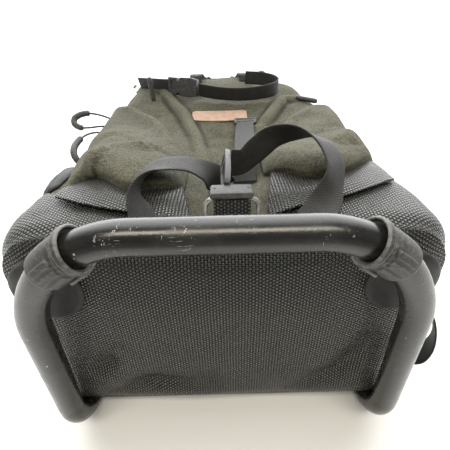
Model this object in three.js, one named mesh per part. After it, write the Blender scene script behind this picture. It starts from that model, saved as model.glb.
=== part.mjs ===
// A frame rucksack lying on its back.
// Millimetres, +Z up. X runs across the pack, Y from its foot to its top, Z from its harness to its front.
// The origin is under the middle of the pack, on the floor.

import * as THREE from 'three';
import { mergeVertices } from 'three/addons/utils/BufferGeometryUtils.js';

// Driving dimensions of the tube frame
const TUBE_RADIUS = 10.8;
const TUBE_SIDES = 12;
const FRAME_WIDTH = 293;
const BAR_HEIGHT = 262;
const FOOT_LEAN = 24;
const FOOT_TAPER = 0.168;
const FOOT_CORNER_RADIUS = 85;
const FOOT_BEND_RADIUS = 45;
const RAIL_LENGTH = 455;
const TOP_CORNER_RADIUS = 70;

// Driving dimensions of the bag
const CLOTH = 2;
const GAP = 0.4;
const BAG_BOTTOM = 16.5;
const BAG_TOP = 515;
const BAG_BACK = 21.3;
const BACK_EDGE_RADIUS = 25;
const BOTTOM_EDGE_RADIUS = 28;
const TOP_EDGE_RADIUS = 38;
const BOTTOM_SAG = 2;
const BOTTOM_MIDDLE_HEIGHT = 135;
const SIDE_BELLY = 8;
const CAP_DOME = 10;
const VALLEY_HALF_WIDTH = 62;
const BODY_END = 470;
const SIDE_BOOT_HEIGHT = 116;
const FRONT_RIM_HEIGHT = 185;

// Webbing, cords and hardware
const WEB = 25;
const TOP_WEB = 19;
const WEB_THICKNESS = 1.6;
const PAD_WIDTH = 62;
const PAD_THICKNESS = 11;
const CORD_RADIUS = 1.25;
const GRIP_RADIUS = 4;
const WIRE_RADIUS = 2;
const HARDWARE_X = 7;

const halfFrame = FRAME_WIDTH / 2;
const facetFactor = Math.cos(Math.PI / TUBE_SIDES);
const railHeight = TUBE_RADIUS * facetFactor;
const bendHeight = railHeight + FOOT_BEND_RADIUS;
const bodyOffset = -CLOTH - GAP;

const vec = (x, y, z) => new THREE.Vector3(x, y, z);
const lerp = THREE.MathUtils.lerp;
const rad = THREE.MathUtils.degToRad;
const range = (count) => [...Array(count).keys()];

// Bag outline: a row for each section along Y.
// half: half width, front: height of the front, edge: radius of its front edges, valley: depth of the middle
// channel, droop: how far the right shoulder sinks.
const BAG_ROWS = [
  { y: 16, half: 165, front: 228, edge: 36, valley: 6, droop: 0 },
  { y: 45, half: 175, front: 229, edge: 34, valley: 12, droop: 0 },
  { y: 75, half: 175, front: 229, edge: 34, valley: 15, droop: 0 },
  { y: 110, half: 169, front: 228, edge: 32, valley: 17, droop: 0 },
  { y: 150, half: 163, front: 226, edge: 30, valley: 17, droop: 0 },
  { y: 200, half: 159, front: 224, edge: 30, valley: 16, droop: 0 },
  { y: 260, half: 158, front: 223, edge: 31, valley: 10, droop: 0 },
  { y: 310, half: 157, front: 229, edge: 33, valley: 2, droop: 0 },
  { y: 350, half: 155, front: 239, edge: 35, valley: 0, droop: 5 },
  { y: 400, half: 151, front: 247, edge: 40, valley: 0, droop: 14 },
  { y: 440, half: 146, front: 250, edge: 44, valley: 0, droop: 16 },
  { y: 480, half: 138, front: 244, edge: 48, valley: 0, droop: 14 },
  { y: 515, half: 128, front: 232, edge: 50, valley: 0, droop: 10 },
];
const DROOP = { from: 25, to: 140 };

// Front pockets: a row for each fold between the lower rim (v = 0) and the upper rim (v = 1).
// lift: height over the plane of the bag's front, push: how far the cloth hangs over towards the foot.
const POCKET_ROWS = [
  { v: 0, lift: 0, push: 0 },
  { v: 0.02, lift: 10, push: -6 },
  { v: 0.055, lift: 17, push: -13 },
  { v: 0.11, lift: 22, push: -13 },
  { v: 0.18, lift: 24, push: -8 },
  { v: 0.27, lift: 22, push: -1 },
  { v: 0.35, lift: 16, push: 2 },
  { v: 0.47, lift: 18, push: 0 },
  { v: 0.62, lift: 17, push: 0 },
  { v: 0.8, lift: 13, push: 0 },
  { v: 0.93, lift: 8, push: 0 },
  { v: 1, lift: 0, push: 0 },
];
const POCKET = {
  outer: 160, fullWidthAt: 0.7, columns: 10, clear: 4, plane: 73, highX: 150, highCurve: 0.0138,
};
const POCKET_SIDES = {
  left: { sign: -1, inner: 36, lowOuter: 138, highY: 342 },
  right: { sign: 1, inner: 42, lowOuter: 154, highY: 335 },
};

// Lower rim of the pockets: its y on the left and on the right, at each distance x from the middle
const RIM_ROWS = [
  { x: 36, left: 104, right: 134 },
  { x: 48, left: 93, right: 127 },
  { x: 60, left: 86, right: 116 },
  { x: 74, left: 84, right: 103 },
  { x: 90, left: 93, right: 101 },
  { x: 104, left: 107, right: 107 },
  { x: 116, left: 114, right: 115 },
  { x: 128, left: 105, right: 126 },
  { x: 140, left: 88, right: 137 },
  { x: 150, left: 92, right: 146 },
  { x: 160, left: 99, right: 150 },
];

// Lower edge of the flaps below the pockets, and how far the base reaches under them
const SEAM = { y: 41, tilt: 0.04, curve: 0.0021, overlap: 7 };
const seamY = (x) => SEAM.y + SEAM.tilt * x + SEAM.curve * x * x;

// Value of a column where the key column has this value, on a smooth curve through the rows
function columnAt(rows, value, column, key = 'y') {
  const last = rows.length - 1;
  const clamped = THREE.MathUtils.clamp(value, rows[0][key], rows[last][key]);
  let i = 0;
  while (i < last - 1 && rows[i + 1][key] < clamped) i += 1;
  const slope = (k) => {
    const a = rows[Math.max(k - 1, 0)];
    const b = rows[Math.min(k + 1, last)];
    return (b[column] - a[column]) / (b[key] - a[key]);
  };
  const span = rows[i + 1][key] - rows[i][key];
  const t = (clamped - rows[i][key]) / span;
  const s = 1 - t;
  return rows[i][column] * (1 + 2 * t) * s * s + rows[i + 1][column] * t * t * (3 - 2 * t)
    + span * t * s * (slope(i) * s - slope(i + 1) * t);
}

// How far the outline moves in, at y, for a surface that lies offset outside the bag's outline
function inset(y, offset) {
  const rounded = (radius, over) => radius - Math.sqrt(Math.max((radius + offset) ** 2 - over ** 2, 0));
  const bottom = BAG_BOTTOM + BOTTOM_EDGE_RADIUS - y;
  if (bottom > 0) return rounded(BOTTOM_EDGE_RADIUS, bottom);
  const top = y - BAG_TOP + TOP_EDGE_RADIUS;
  if (top > 0) return rounded(TOP_EDGE_RADIUS, top);
  return -offset;
}

// Section sizes at y of the surface at this offset
function sectionAt(y, offset) {
  const cut = inset(y, offset);
  return {
    half: columnAt(BAG_ROWS, y, 'half') - cut,
    front: columnAt(BAG_ROWS, y, 'front') - cut,
    back: BAG_BACK + cut,
    edge: Math.max(columnAt(BAG_ROWS, y, 'edge') - cut, 8),
    backEdge: Math.max(BACK_EDGE_RADIUS - cut, 6),
    valley: columnAt(BAG_ROWS, y, 'valley'),
    droop: columnAt(BAG_ROWS, y, 'droop'),
  };
}

// Height of the bag's front at x, y
function frontHeight(x, y, offset) {
  const s = sectionAt(y, offset);
  const over = Math.max(Math.abs(x) - s.half + s.edge, 0);
  const drop = s.edge - Math.sqrt(Math.max(s.edge ** 2 - over ** 2, 0));
  const t = Math.min(Math.abs(x) / VALLEY_HALF_WIDTH, 1);
  const valley = s.valley * (1 - t * t) ** 2;
  const droop = s.droop * THREE.MathUtils.smoothstep(x, DROOP.from, DROOP.to);
  return s.front - drop - valley - droop;
}

// Half width of the bag at y, z: above the base, the sides belly out between the back and the front edge
function sideReach(y, z, offset, top) {
  const s = sectionAt(y, offset);
  const t = THREE.MathUtils.clamp((z - s.back - s.backEdge) / (top - s.back - s.backEdge), 0, 1);
  const along = THREE.MathUtils.clamp((y - SIDE_BOOT_HEIGHT) / (BAG_TOP - SIDE_BOOT_HEIGHT), 0, 1);
  return s.half + SIDE_BELLY * Math.sin(Math.PI * t) * Math.sin(Math.PI * along);
}

const onFront = (x, y, offset) => vec(x, y, frontHeight(x, y, offset));

// Points of one section, the same count at every y, from the middle of the back round the right side
const SECTION = { back: 2, backCorner: 2, side: 3, frontCorner: 4, front: 4 };
function sectionRing(y, offset) {
  const s = sectionAt(y, offset);
  const flatBack = s.half - s.backEdge;
  const halfRing = (sign) => {
    const points = [];
    const push = (x, z) => points.push(vec(sign * x, y, z));
    for (let i = 0; i <= SECTION.back; i += 1) push(flatBack * i / SECTION.back, s.back);
    for (let i = 1; i <= SECTION.backCorner; i += 1) {
      const a = rad(90 * i / SECTION.backCorner);
      push(flatBack + s.backEdge * Math.sin(a), s.back + s.backEdge * (1 - Math.cos(a)));
    }
    const sideTop = frontHeight(sign * s.half, y, offset);
    for (let i = 1; i < SECTION.side; i += 1) {
      const z = lerp(s.back + s.backEdge, sideTop, i / SECTION.side);
      push(sideReach(y, z, offset, sideTop), z);
    }
    for (let i = 0; i < SECTION.frontCorner; i += 1) {
      const x = s.half - s.edge + s.edge * Math.cos(rad(90 * i / SECTION.frontCorner));
      push(x, frontHeight(sign * x, y, offset));
    }
    for (let i = 0; i <= SECTION.front; i += 1) {
      const x = (s.half - s.edge) * (1 - i / SECTION.front);
      push(x, frontHeight(sign * x, y, offset));
    }
    return points;
  };
  return [...halfRing(1), ...halfRing(-1).slice(1, -1).reverse()];
}

// Closed geometry from triangles, with its faces turned outwards
function closedGeometry(points, triangles) {
  const raw = new THREE.BufferGeometry();
  raw.setAttribute('position', new THREE.Float32BufferAttribute(points.flatMap((p) => [p.x, p.y, p.z]), 3));
  raw.setIndex(triangles.flat());
  return outward(raw);
}

function outward(source) {
  const bare = source.clone();
  bare.deleteAttribute('normal');
  bare.deleteAttribute('uv');
  const merged = mergeVertices(bare, 1e-3);
  const at = (i) => vec().fromBufferAttribute(merged.attributes.position, i);
  const faces = [];
  let volume = 0;
  for (let i = 0; i < merged.index.count; i += 3) {
    const [a, b, c] = [0, 1, 2].map((k) => merged.index.getX(i + k));
    if (a === b || b === c || c === a) continue;
    faces.push([a, b, c]);
    volume += at(a).dot(at(b).cross(at(c)));
  }
  merged.setIndex((volume < 0 ? faces.map(([a, b, c]) => [a, c, b]) : faces).flat());
  merged.computeVertexNormals();
  return merged;
}

// Skin over a row of rings with the same point count.
// Its ends are closed by a point, by a fan or by meeting each other.
function loft(rings, { loop = false, first = null, last = null } = {}) {
  const n = rings[0].length;
  const points = rings.flat();
  const triangles = [];
  const spans = loop ? rings.length : rings.length - 1;
  for (let k = 0; k < spans; k += 1) {
    const a = k * n;
    const b = ((k + 1) % rings.length) * n;
    for (let i = 0; i < n; i += 1) {
      const j = (i + 1) % n;
      triangles.push([a + i, a + j, b + j], [a + i, b + j, b + i]);
    }
  }
  const close = (ring, tip, flip) => {
    const start = points.indexOf(ring[0]);
    const centre = tip ?? ring.reduce((sum, p) => sum.add(p), vec(0, 0, 0)).divideScalar(n);
    points.push(centre);
    for (let i = 0; i < n; i += 1) {
      const pair = flip ? [start + (i + 1) % n, start + i] : [start + i, start + (i + 1) % n];
      triangles.push([points.length - 1, ...pair]);
    }
  };
  if (!loop) {
    close(rings[0], first, true);
    close(rings.at(-1), last, false);
  }
  return closedGeometry(points, triangles);
}

// Sheet of cloth between an outer and an inner grid of the same rows and columns
function sheet(outer, inner) {
  const rows = outer.length;
  const columns = outer[0].length;
  const points = [...outer.flat(), ...inner.flat()];
  const index = (side, r, c) => side * rows * columns + r * columns + c;
  const triangles = [];
  const quad = (a, b, c, d) => triangles.push([a, b, c], [a, c, d]);
  for (let r = 0; r < rows - 1; r += 1) {
    for (let c = 0; c < columns - 1; c += 1) {
      quad(index(0, r, c), index(0, r, c + 1), index(0, r + 1, c + 1), index(0, r + 1, c));
      quad(index(1, r, c), index(1, r + 1, c), index(1, r + 1, c + 1), index(1, r, c + 1));
    }
    quad(index(0, r, 0), index(0, r + 1, 0), index(1, r + 1, 0), index(1, r, 0));
    const c = columns - 1;
    quad(index(0, r, c), index(1, r, c), index(1, r + 1, c), index(0, r + 1, c));
  }
  for (let c = 0; c < columns - 1; c += 1) {
    quad(index(0, 0, c), index(1, 0, c), index(1, 0, c + 1), index(0, 0, c + 1));
    const r = rows - 1;
    quad(index(0, r, c), index(0, r, c + 1), index(1, r, c + 1), index(1, r, c));
  }
  return closedGeometry(points, triangles);
}

function grid(rows, columns, at) {
  return range(rows + 1).map((r) => range(columns + 1).map((c) => at(c / columns, r / rows)));
}

// Ring of points round a path point: n is the first direction of the section, the second is square to it
function sectionAround(p, tangent, n, section) {
  const across = n.clone().addScaledVector(tangent, -n.dot(tangent)).normalize();
  const other = tangent.clone().cross(across);
  return section.map(([a, b]) => p.clone().addScaledVector(across, a).addScaledVector(other, b));
}

function tangentAt(path, i, loop) {
  const count = path.length;
  const before = loop ? path[(i + count - 1) % count] : path[Math.max(i - 1, 0)];
  const after = loop ? path[(i + 1) % count] : path[Math.min(i + 1, count - 1)];
  return after.p.clone().sub(before.p).normalize();
}

const polygon = (radius, sides, turn = 0) => range(sides).map((i) => {
  const a = 2 * Math.PI * (i + turn) / sides;
  return [radius * Math.cos(a), radius * Math.sin(a)];
});

// Sections of a strap through table rows. x, y, z: middle of the strap; wx, wy, wz: direction across it.
const BAND = [[1, 1], [-1, 1], [-1, -1], [1, -1]];
const PAD = [[1, 0.35], [0.86, 1], [-0.86, 1], [-1, 0.35], [-1, -0.35], [-0.86, -1], [0.86, -1], [1, -0.35]];
function strapRings(rows, width, thickness, steps, shape) {
  const centre = new THREE.CatmullRomCurve3(rows.map((r) => vec(r.x, r.y, r.z)));
  const across = new THREE.CatmullRomCurve3(rows.map((r) => vec(r.wx, r.wy, r.wz)));
  const section = shape.map(([a, b]) => [a * width / 2, b * thickness / 2]);
  return range(steps + 1).map((i) => {
    const t = i / steps;
    return sectionAround(centre.getPoint(t), centre.getTangent(t), across.getPoint(t), section);
  });
}

// Flat webbing: both faces share their diagonals, so that a twist keeps its thickness
function strap(rows, width, steps) {
  const rings = strapRings(rows, width, WEB_THICKNESS, steps, BAND);
  return sheet(rings.map((r) => [r[0], r[1]]), rings.map((r) => [r[3], r[2]]));
}

const PAD_STEPS = 14;
function paddedStrap(rows) {
  return loft(strapRings(rows, PAD_WIDTH, PAD_THICKNESS, PAD_STEPS, PAD));
}

// Leans the foot away from the bag and draws its legs together towards the bar
function leanFoot(p) {
  const rise = Math.max(p.z - bendHeight, 0) / (BAR_HEIGHT - bendHeight);
  return vec(p.x * (1 - FOOT_TAPER * rise), p.y - FOOT_LEAN * rise, p.z);
}

// Frame tube: corners with their bend radius, and the side of the tube that faces the bag
function frameTube() {
  const steps = { foot: 8, bend: 5, top: 6 };
  const path = [];
  const arc = (centre, radius, from, to, count, n) => {
    for (let i = 0; i <= count; i += 1) {
      const a = i / count * Math.PI / 2;
      const spoke = from.clone().multiplyScalar(Math.cos(a)).addScaledVector(to, Math.sin(a));
      path.push({ p: centre.clone().addScaledVector(spoke, radius), n: n ?? spoke.clone().negate() });
    }
  };
  const [left, right] = [vec(-1, 0, 0), vec(1, 0, 0)];
  const [up, down] = [vec(0, 0, 1), vec(0, 0, -1)];
  const [back, ahead] = [vec(0, 1, 0), vec(0, -1, 0)];
  const footX = halfFrame - FOOT_CORNER_RADIUS;
  const topX = halfFrame - TOP_CORNER_RADIUS;
  const footZ = BAR_HEIGHT - FOOT_CORNER_RADIUS;
  const topY = RAIL_LENGTH - TOP_CORNER_RADIUS;
  arc(vec(-footX, 0, footZ), FOOT_CORNER_RADIUS, up, left, steps.foot, back);
  arc(vec(-halfFrame, FOOT_BEND_RADIUS, bendHeight), FOOT_BEND_RADIUS, ahead, down, steps.bend);
  arc(vec(-topX, topY, railHeight), TOP_CORNER_RADIUS, left, back, steps.top, up);
  arc(vec(topX, topY, railHeight), TOP_CORNER_RADIUS, back, right, steps.top, up);
  arc(vec(halfFrame, FOOT_BEND_RADIUS, bendHeight), FOOT_BEND_RADIUS, down, ahead, steps.bend);
  arc(vec(footX, 0, footZ), FOOT_CORNER_RADIUS, right, up, steps.foot, back);
  for (const knot of path) knot.p = leanFoot(knot.p);
  const section = polygon(TUBE_RADIUS, TUBE_SIDES, 0.5);
  const rings = path.map(({ p, n }, i) => sectionAround(p, tangentAt(path, i, true), n, section));
  return loft(rings, { loop: true });
}

// Sleeve clipped on a corner of the foot. side is -1 on the left and 1 on the right.
const CLIP = { from: 24, to: 44, steps: 4, sides: 12, bore: 11.4, outside: 14, lip: 15.6, lipAngle: 2.4 };
function footClip(side) {
  const centre = vec(side * (halfFrame - FOOT_CORNER_RADIUS), 0, BAR_HEIGHT - FOOT_CORNER_RADIUS);
  const onCorner = (degrees) => {
    const spoke = vec(side * Math.sin(rad(degrees)), 0, Math.cos(rad(degrees)));
    return leanFoot(centre.clone().addScaledVector(spoke, FOOT_CORNER_RADIUS));
  };
  const ring = (degrees, radius) => {
    const tangent = onCorner(degrees + 1).sub(onCorner(degrees - 1)).normalize();
    const section = polygon(radius / Math.cos(Math.PI / CLIP.sides), CLIP.sides, 0.5);
    return sectionAround(onCorner(degrees), tangent, vec(0, 1, 0), section);
  };
  const lipEnd = CLIP.from + CLIP.lipAngle;
  const angles = range(CLIP.steps + 1).map((i) => lerp(CLIP.from, CLIP.to, i / CLIP.steps));
  const lip = [ring(CLIP.from, CLIP.lip), ring(lipEnd, CLIP.lip), ring(lipEnd, CLIP.outside)];
  const sleeve = angles.slice(1).map((a) => ring(a, CLIP.outside));
  const bore = angles.reverse().map((a) => ring(a, CLIP.bore));
  return loft([...lip, ...sleeve, ...bore], { loop: true });
}

// Honeycomb base: a cup whose rim dips in the middle of the front, under the pocket flaps
function bootRim(x, z) {
  const front = seamY(x) + SEAM.overlap;
  return z > FRONT_RIM_HEIGHT ? Math.min(front, SIDE_BOOT_HEIGHT) : SIDE_BOOT_HEIGHT;
}

// Rings from the end of the bottom edge up to the rim of the base
function rimRings(offset) {
  const start = sectionRing(BAG_BOTTOM + BOTTOM_EDGE_RADIUS, offset);
  const rim = start.map((p, i) => sectionRing(bootRim(p.x, p.z), offset)[i]);
  const wall = start.map((p, i) => p.clone().lerp(rim[i], 0.5));
  return [start, wall, rim];
}

const BOOT_EDGE_ANGLES = [0, 30, 60];
const BOOT_PANEL_SCALES = [0.35, 0.72];
function baseBoot() {
  const skin = (offset) => {
    const centreY = BAG_BOTTOM + BOTTOM_EDGE_RADIUS;
    const edge = BOOT_EDGE_ANGLES.map((degrees) => {
      const y = centreY - (BOTTOM_EDGE_RADIUS + offset) * Math.cos(rad(degrees));
      return sectionRing(y, offset);
    });
    const middle = vec(0, edge[0][0].y, BOTTOM_MIDDLE_HEIGHT);
    const panel = BOOT_PANEL_SCALES.map((scale) => edge[0].map((p) => {
      const q = middle.clone().lerp(p, scale);
      q.y -= BOTTOM_SAG * (1 - scale * scale);
      return q;
    }));
    middle.y -= BOTTOM_SAG;
    return { middle, rings: [...panel, ...edge, ...rimRings(offset)] };
  };
  const outer = skin(0);
  const inner = skin(-CLOTH);
  return loft([...outer.rings, ...inner.rings.reverse()], { first: outer.middle, last: inner.middle });
}

// Upper bag: a tube of cloth from inside the boot to the cap
const BODY_STATIONS = [125, 160, 200, 235, 265, 290, 315, 350, 390, 430, BODY_END];
function bagBody() {
  const rings = (offset) => [...rimRings(offset), ...BODY_STATIONS.map((y) => sectionRing(y, offset))];
  return loft([...rings(bodyOffset), ...rings(bodyOffset - CLOTH).reverse()], { loop: true });
}

// Cap over the upper end
const CAP_EDGE_ANGLES = [0, 30, 60, 90];
const CAP_PANEL_SCALES = [0.5];
function topCap() {
  const skin = (offset) => {
    const centreY = BAG_TOP - TOP_EDGE_RADIUS;
    const edge = CAP_EDGE_ANGLES.map((degrees) => {
      const y = centreY + (TOP_EDGE_RADIUS + offset) * Math.sin(rad(degrees));
      return sectionRing(y, offset);
    });
    const end = edge.at(-1);
    const middle = vec(0, end[0].y, (BAG_BACK + end[Math.floor(end.length / 2)].z) / 2);
    const panel = CAP_PANEL_SCALES.map((scale) => end.map((p) => {
      const q = middle.clone().lerp(p, scale);
      q.y += CAP_DOME * (1 - scale * scale);
      return q;
    }));
    middle.y += CAP_DOME;
    return { middle, rings: [sectionRing(BODY_END + GAP, offset), ...edge, ...panel] };
  };
  const outer = skin(bodyOffset);
  const inner = skin(bodyOffset - CLOTH);
  return loft([...outer.rings.reverse(), ...inner.rings], { first: outer.middle, last: inner.middle });
}

// Front pocket: a dome of cloth on the bag's front, open towards the bag
const lowRim = (name, x) => columnAt(RIM_ROWS, x, name, 'x');
const highRim = (name, x) => {
  const inside = POCKET.highX - Math.min(x, POCKET.highX);
  return POCKET_SIDES[name].highY - POCKET.highCurve * inside ** 2;
};
const POCKET_SEAT = 2;
function frontPocket(name) {
  const { sign, inner, lowOuter } = POCKET_SIDES[name];
  const surface = (trim) => POCKET_ROWS.map((row) => range(POCKET.columns + 1).map((c) => {
    const u = c / POCKET.columns;
    const outer = lerp(lowOuter, POCKET.outer, THREE.MathUtils.smoothstep(row.v, 0, POCKET.fullWidthAt));
    const wide = lerp(inner + trim, outer - trim, u);
    const low = lowRim(name, wide) + trim;
    const high = highRim(name, wide) - trim;
    const crown = (1 - Math.abs(2 * u - 1) ** 4) ** 0.6;
    const y = lerp(low, high, row.v) + (row.push + Math.sign(row.push) * -trim / 2) * crown;
    const x = Math.min(wide, columnAt(BAG_ROWS, y, 'half') - POCKET.clear - trim);
    const p = onFront(sign * x, y, bodyOffset + POCKET_SEAT);
    const plane = frontHeight(sign * Math.min(x, POCKET.plane), y, bodyOffset);
    if (row.lift > 0) p.z = lerp(p.z, Math.max(plane + row.lift - trim, p.z), crown);
    return p;
  }));
  return sheet(surface(0), surface(CLOTH));
}

// Honeycomb flap below each pocket, over the rim of the base
const SKIRT = { slant: 6.5, rows: 3, columns: 10, seat: 1.6, crown: 1.2, upperGap: 2.8 };
const SKIRT_SIDES = { left: { inner: 30, outer: 138 }, right: { inner: 41, outer: 150 } };
function pocketSkirt(name) {
  const { sign } = POCKET_SIDES[name];
  const { inner, outer } = SKIRT_SIDES[name];
  const surface = (offset) => grid(SKIRT.rows, SKIRT.columns, (u, v) => {
    const x = lerp(inner + SKIRT.slant * (2 * v - 1), outer, u);
    const y = lerp(seamY(sign * x), lowRim(name, x) - SKIRT.upperGap, v);
    const p = onFront(sign * x, y, offset);
    p.z += SKIRT.crown * Math.sin(Math.PI * v) * Math.sin(Math.PI * u);
    return p;
  });
  return sheet(surface(SKIRT.seat + CLOTH), surface(SKIRT.seat));
}

// Plain nylon pocket on each side. Near the base it reaches over a share, wrap, of the bag's rounded
// front edge, where its lower edge dips to the rim of the base.
const SIDE = {
  lowY: 122, highY: 345, lowZ: 62, highZ: 186, wrapEnd: 290, rows: 7, columns: 7,
  seat: 0.8, wrapSeat: 4.6, dipFrom: 0.8, bulge: 2.2,
};
const SIDE_SHAPES = {
  left: { wrap: 0.94, crown: 24, dip: 18 },
  right: { wrap: 0.66, crown: 9, dip: 3 },
};
function sidePanel(name) {
  const side = POCKET_SIDES[name].sign;
  const shape = SIDE_SHAPES[name];
  const surface = (trim) => grid(SIDE.rows, SIDE.columns, (u, v) => {
    const lowY = SIDE.lowY - shape.dip * THREE.MathUtils.smoothstep(v, SIDE.dipFrom, 1);
    const y = lerp(lowY + trim, SIDE.highY - trim, u);
    const s = sectionAt(y, bodyOffset);
    const top = frontHeight(side * s.half, y, bodyOffset);
    const wrap = 1 - THREE.MathUtils.smoothstep(y, SIDE.lowY, SIDE.wrapEnd);
    const highZ = lerp(SIDE.highZ, top + shape.wrap * s.edge, wrap);
    const z = lerp(SIDE.lowZ + trim, highZ - trim, v);
    const over = Math.max(z - top, 0);
    const rounding = s.edge - Math.sqrt(s.edge ** 2 - over ** 2);
    const wall = sideReach(y, Math.min(z, top), bodyOffset, top) - rounding;
    const across = Math.max(Math.sin(Math.PI * v ** SIDE.bulge), 0);
    const swell = (shape.crown - trim) * (Math.sin(Math.PI * u) * across) ** 0.5;
    const seat = SIDE.seat + SIDE.wrapSeat * shape.wrap * wrap + swell;
    const slope = Math.asin(over / s.edge);
    return vec(side * (wall + seat * Math.cos(slope)), y, z + seat * Math.sin(slope));
  });
  return sheet(surface(0), surface(CLOTH));
}

// Wear patch on each corner of the bottom panel, where the tube bears
const PATCH = { x: 134, z: 186, radius: 27, rings: 3, sides: 13, seat: 1.3, thickness: 1.9 };
function cornerPatch(side) {
  const bottomY = (x, z) => {
    const s = sectionAt(BAG_BOTTOM + BOTTOM_EDGE_RADIUS, 0);
    const overX = Math.max(x - s.half + s.edge, 0);
    const overZ = Math.max(z - s.front + s.edge, 0);
    const inCorner = overX > 0 && overZ > 0;
    const inside = inCorner ? s.edge - Math.hypot(overX, overZ) : Math.min(s.half - x, s.front - z);
    const dip = Math.max(BOTTOM_EDGE_RADIUS - Math.max(inside, 0), 0);
    return BAG_BOTTOM + BOTTOM_EDGE_RADIUS - Math.sqrt(Math.max(BOTTOM_EDGE_RADIUS ** 2 - dip ** 2, 0));
  };
  const lifted = (x, z, height) => {
    const step = 0.5;
    const slopeX = (bottomY(x + step, z) - bottomY(x - step, z)) / (2 * step);
    const slopeZ = (bottomY(x, z + step) - bottomY(x, z - step)) / (2 * step);
    const normal = vec(slopeX, -1, slopeZ).normalize();
    const p = vec(x, bottomY(x, z), z).addScaledVector(normal, height);
    return vec(side * p.x, p.y, p.z);
  };
  const skin = (height) => range(PATCH.rings).map((k) => {
    const circle = polygon(PATCH.radius * (k + 1) / PATCH.rings, PATCH.sides);
    return circle.map(([a, b]) => lifted(PATCH.x + a, PATCH.z + b, height));
  });
  const outer = skin(PATCH.seat + PATCH.thickness);
  const inner = skin(PATCH.seat);
  return loft([...outer, ...inner.reverse()], {
    first: lifted(PATCH.x, PATCH.z, PATCH.seat + PATCH.thickness),
    last: lifted(PATCH.x, PATCH.z, PATCH.seat),
  });
}

// Bare leather label on the middle of the front
const LABEL = { x: -2, y: 310, length: 76, width: 23, thickness: 1.8, seat: 1.1 };
function label() {
  const surface = (offset) => grid(2, 8, (u, v) => {
    const x = LABEL.x + (u - 0.5) * LABEL.length;
    const y = LABEL.y + (v - 0.5) * LABEL.width;
    return onFront(x, y, bodyOffset + offset);
  });
  return sheet(surface(LABEL.seat + LABEL.thickness), surface(LABEL.seat));
}

// Straps. x, y, z: middle of the strap; wx, wy, wz: direction across its width.
const BUCKLE_END = 108;
const CENTRE_STRAP = [
  { x: 32, y: 282.2, z: 225, wx: 1, wy: 0.05, wz: 0.05 },
  { x: 30, y: 262, z: 227.5, wx: 1, wy: 0.05, wz: 0.05 },
  { x: 25, y: 175, z: 230, wx: 1, wy: 0.05, wz: 0 },
  { x: 23, y: 147, z: 228, wx: 1, wy: 0.05, wz: 0.05 },
  { x: 22, y: 127, z: 216.2, wx: 1, wy: 0, wz: 0.2 },
];
const RIGHT_LOOP = [
  { x: 7.7, y: 100.5, z: 248.7, wx: 0.26, wy: 0, wz: 0.966 },
  { x: 17.5, y: 102.5, z: 248.3, wx: 0.1, wy: -0.1, wz: 0.99 },
  { x: 30, y: 108, z: 256.5, wx: -0.35, wy: -0.15, wz: 0.92 },
  { x: 44, y: 112, z: 266, wx: -0.61, wy: -0.3, wz: 0.7 },
  { x: 59, y: 109, z: 271, wx: -0.6, wy: -0.42, wz: 0.66 },
  { x: 72, y: 102, z: 272.5, wx: -0.64, wy: -0.55, wz: 0.5 },
  { x: 84, y: 91, z: 268, wx: -0.68, wy: -0.66, wz: 0.3 },
  { x: 90, y: 78, z: 258, wx: -0.68, wy: -0.7, wz: 0.15 },
  { x: 88, y: 66, z: 247, wx: -0.7, wy: -0.5, wz: 0.3 },
  { x: 81, y: 54, z: 238, wx: -0.75, wy: 0.2, wz: 0.4 },
  { x: 72, y: 44, z: 233.3, wx: -0.7, wy: 0.65, wz: 0.1 },
  { x: 64, y: 37, z: 230.8, wx: -0.65, wy: 0.75, wz: 0 },
];
const LEFT_LOOP = [
  { x: 1, y: 122, z: 216.6, wx: 0.86, wy: 0, wz: 0.3 },
  { x: -5, y: 112, z: 227.5, wx: 0.7, wy: 0.45, wz: 0.55 },
  { x: -17, y: 104, z: 241, wx: 0, wy: 0.9, wz: 0.3 },
  { x: -32, y: 98, z: 250, wx: -0.2, wy: 0.95, wz: 0.1 },
  { x: -47, y: 91, z: 253, wx: -0.2, wy: 0.97, wz: 0 },
  { x: -59, y: 76, z: 252, wx: -0.15, wy: 0.9, wz: -0.2 },
  { x: -64, y: 60, z: 247, wx: 0, wy: 0.8, wz: -0.38 },
  { x: -62, y: 49, z: 240.5, wx: 0.4, wy: 0.7, wz: -0.3 },
  { x: -57, y: 41, z: 233.8, wx: 0.7, wy: 0.65, wz: -0.1 },
  { x: -50, y: 35.5, z: 231, wx: 0.7, wy: 0.7, wz: 0 },
];
const BUCKLE_TAB = [
  { x: HARDWARE_X, y: 74, z: 217.5, wx: 1, wy: 0, wz: 0 },
  { x: HARDWARE_X, y: 60, z: 221, wx: 1, wy: 0, wz: 0 },
  { x: HARDWARE_X, y: 47, z: 227, wx: 1, wy: 0, wz: 0 },
  { x: HARDWARE_X, y: 40, z: 233, wx: 1, wy: 0, wz: 0 },
  { x: HARDWARE_X, y: 39.6, z: 242, wx: 1, wy: 0, wz: 0 },
  { x: HARDWARE_X, y: 39.8, z: 246.4, wx: 1, wy: 0, wz: 0 },
];
const TOP_STRAP_LEFT = [
  { x: -128, y: 408, z: 252.8, wx: -0.1, wy: -0.2, wz: 0.95 },
  { x: -114, y: 398, z: 253.8, wx: -0.1, wy: -0.2, wz: 0.95 },
  { x: -97, y: 386, z: 255, wx: -0.05, wy: -0.2, wz: 0.98 },
  { x: -77.4, y: 374.6, z: 255.5, wx: 0, wy: -0.2, wz: 0.98 },
];
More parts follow.
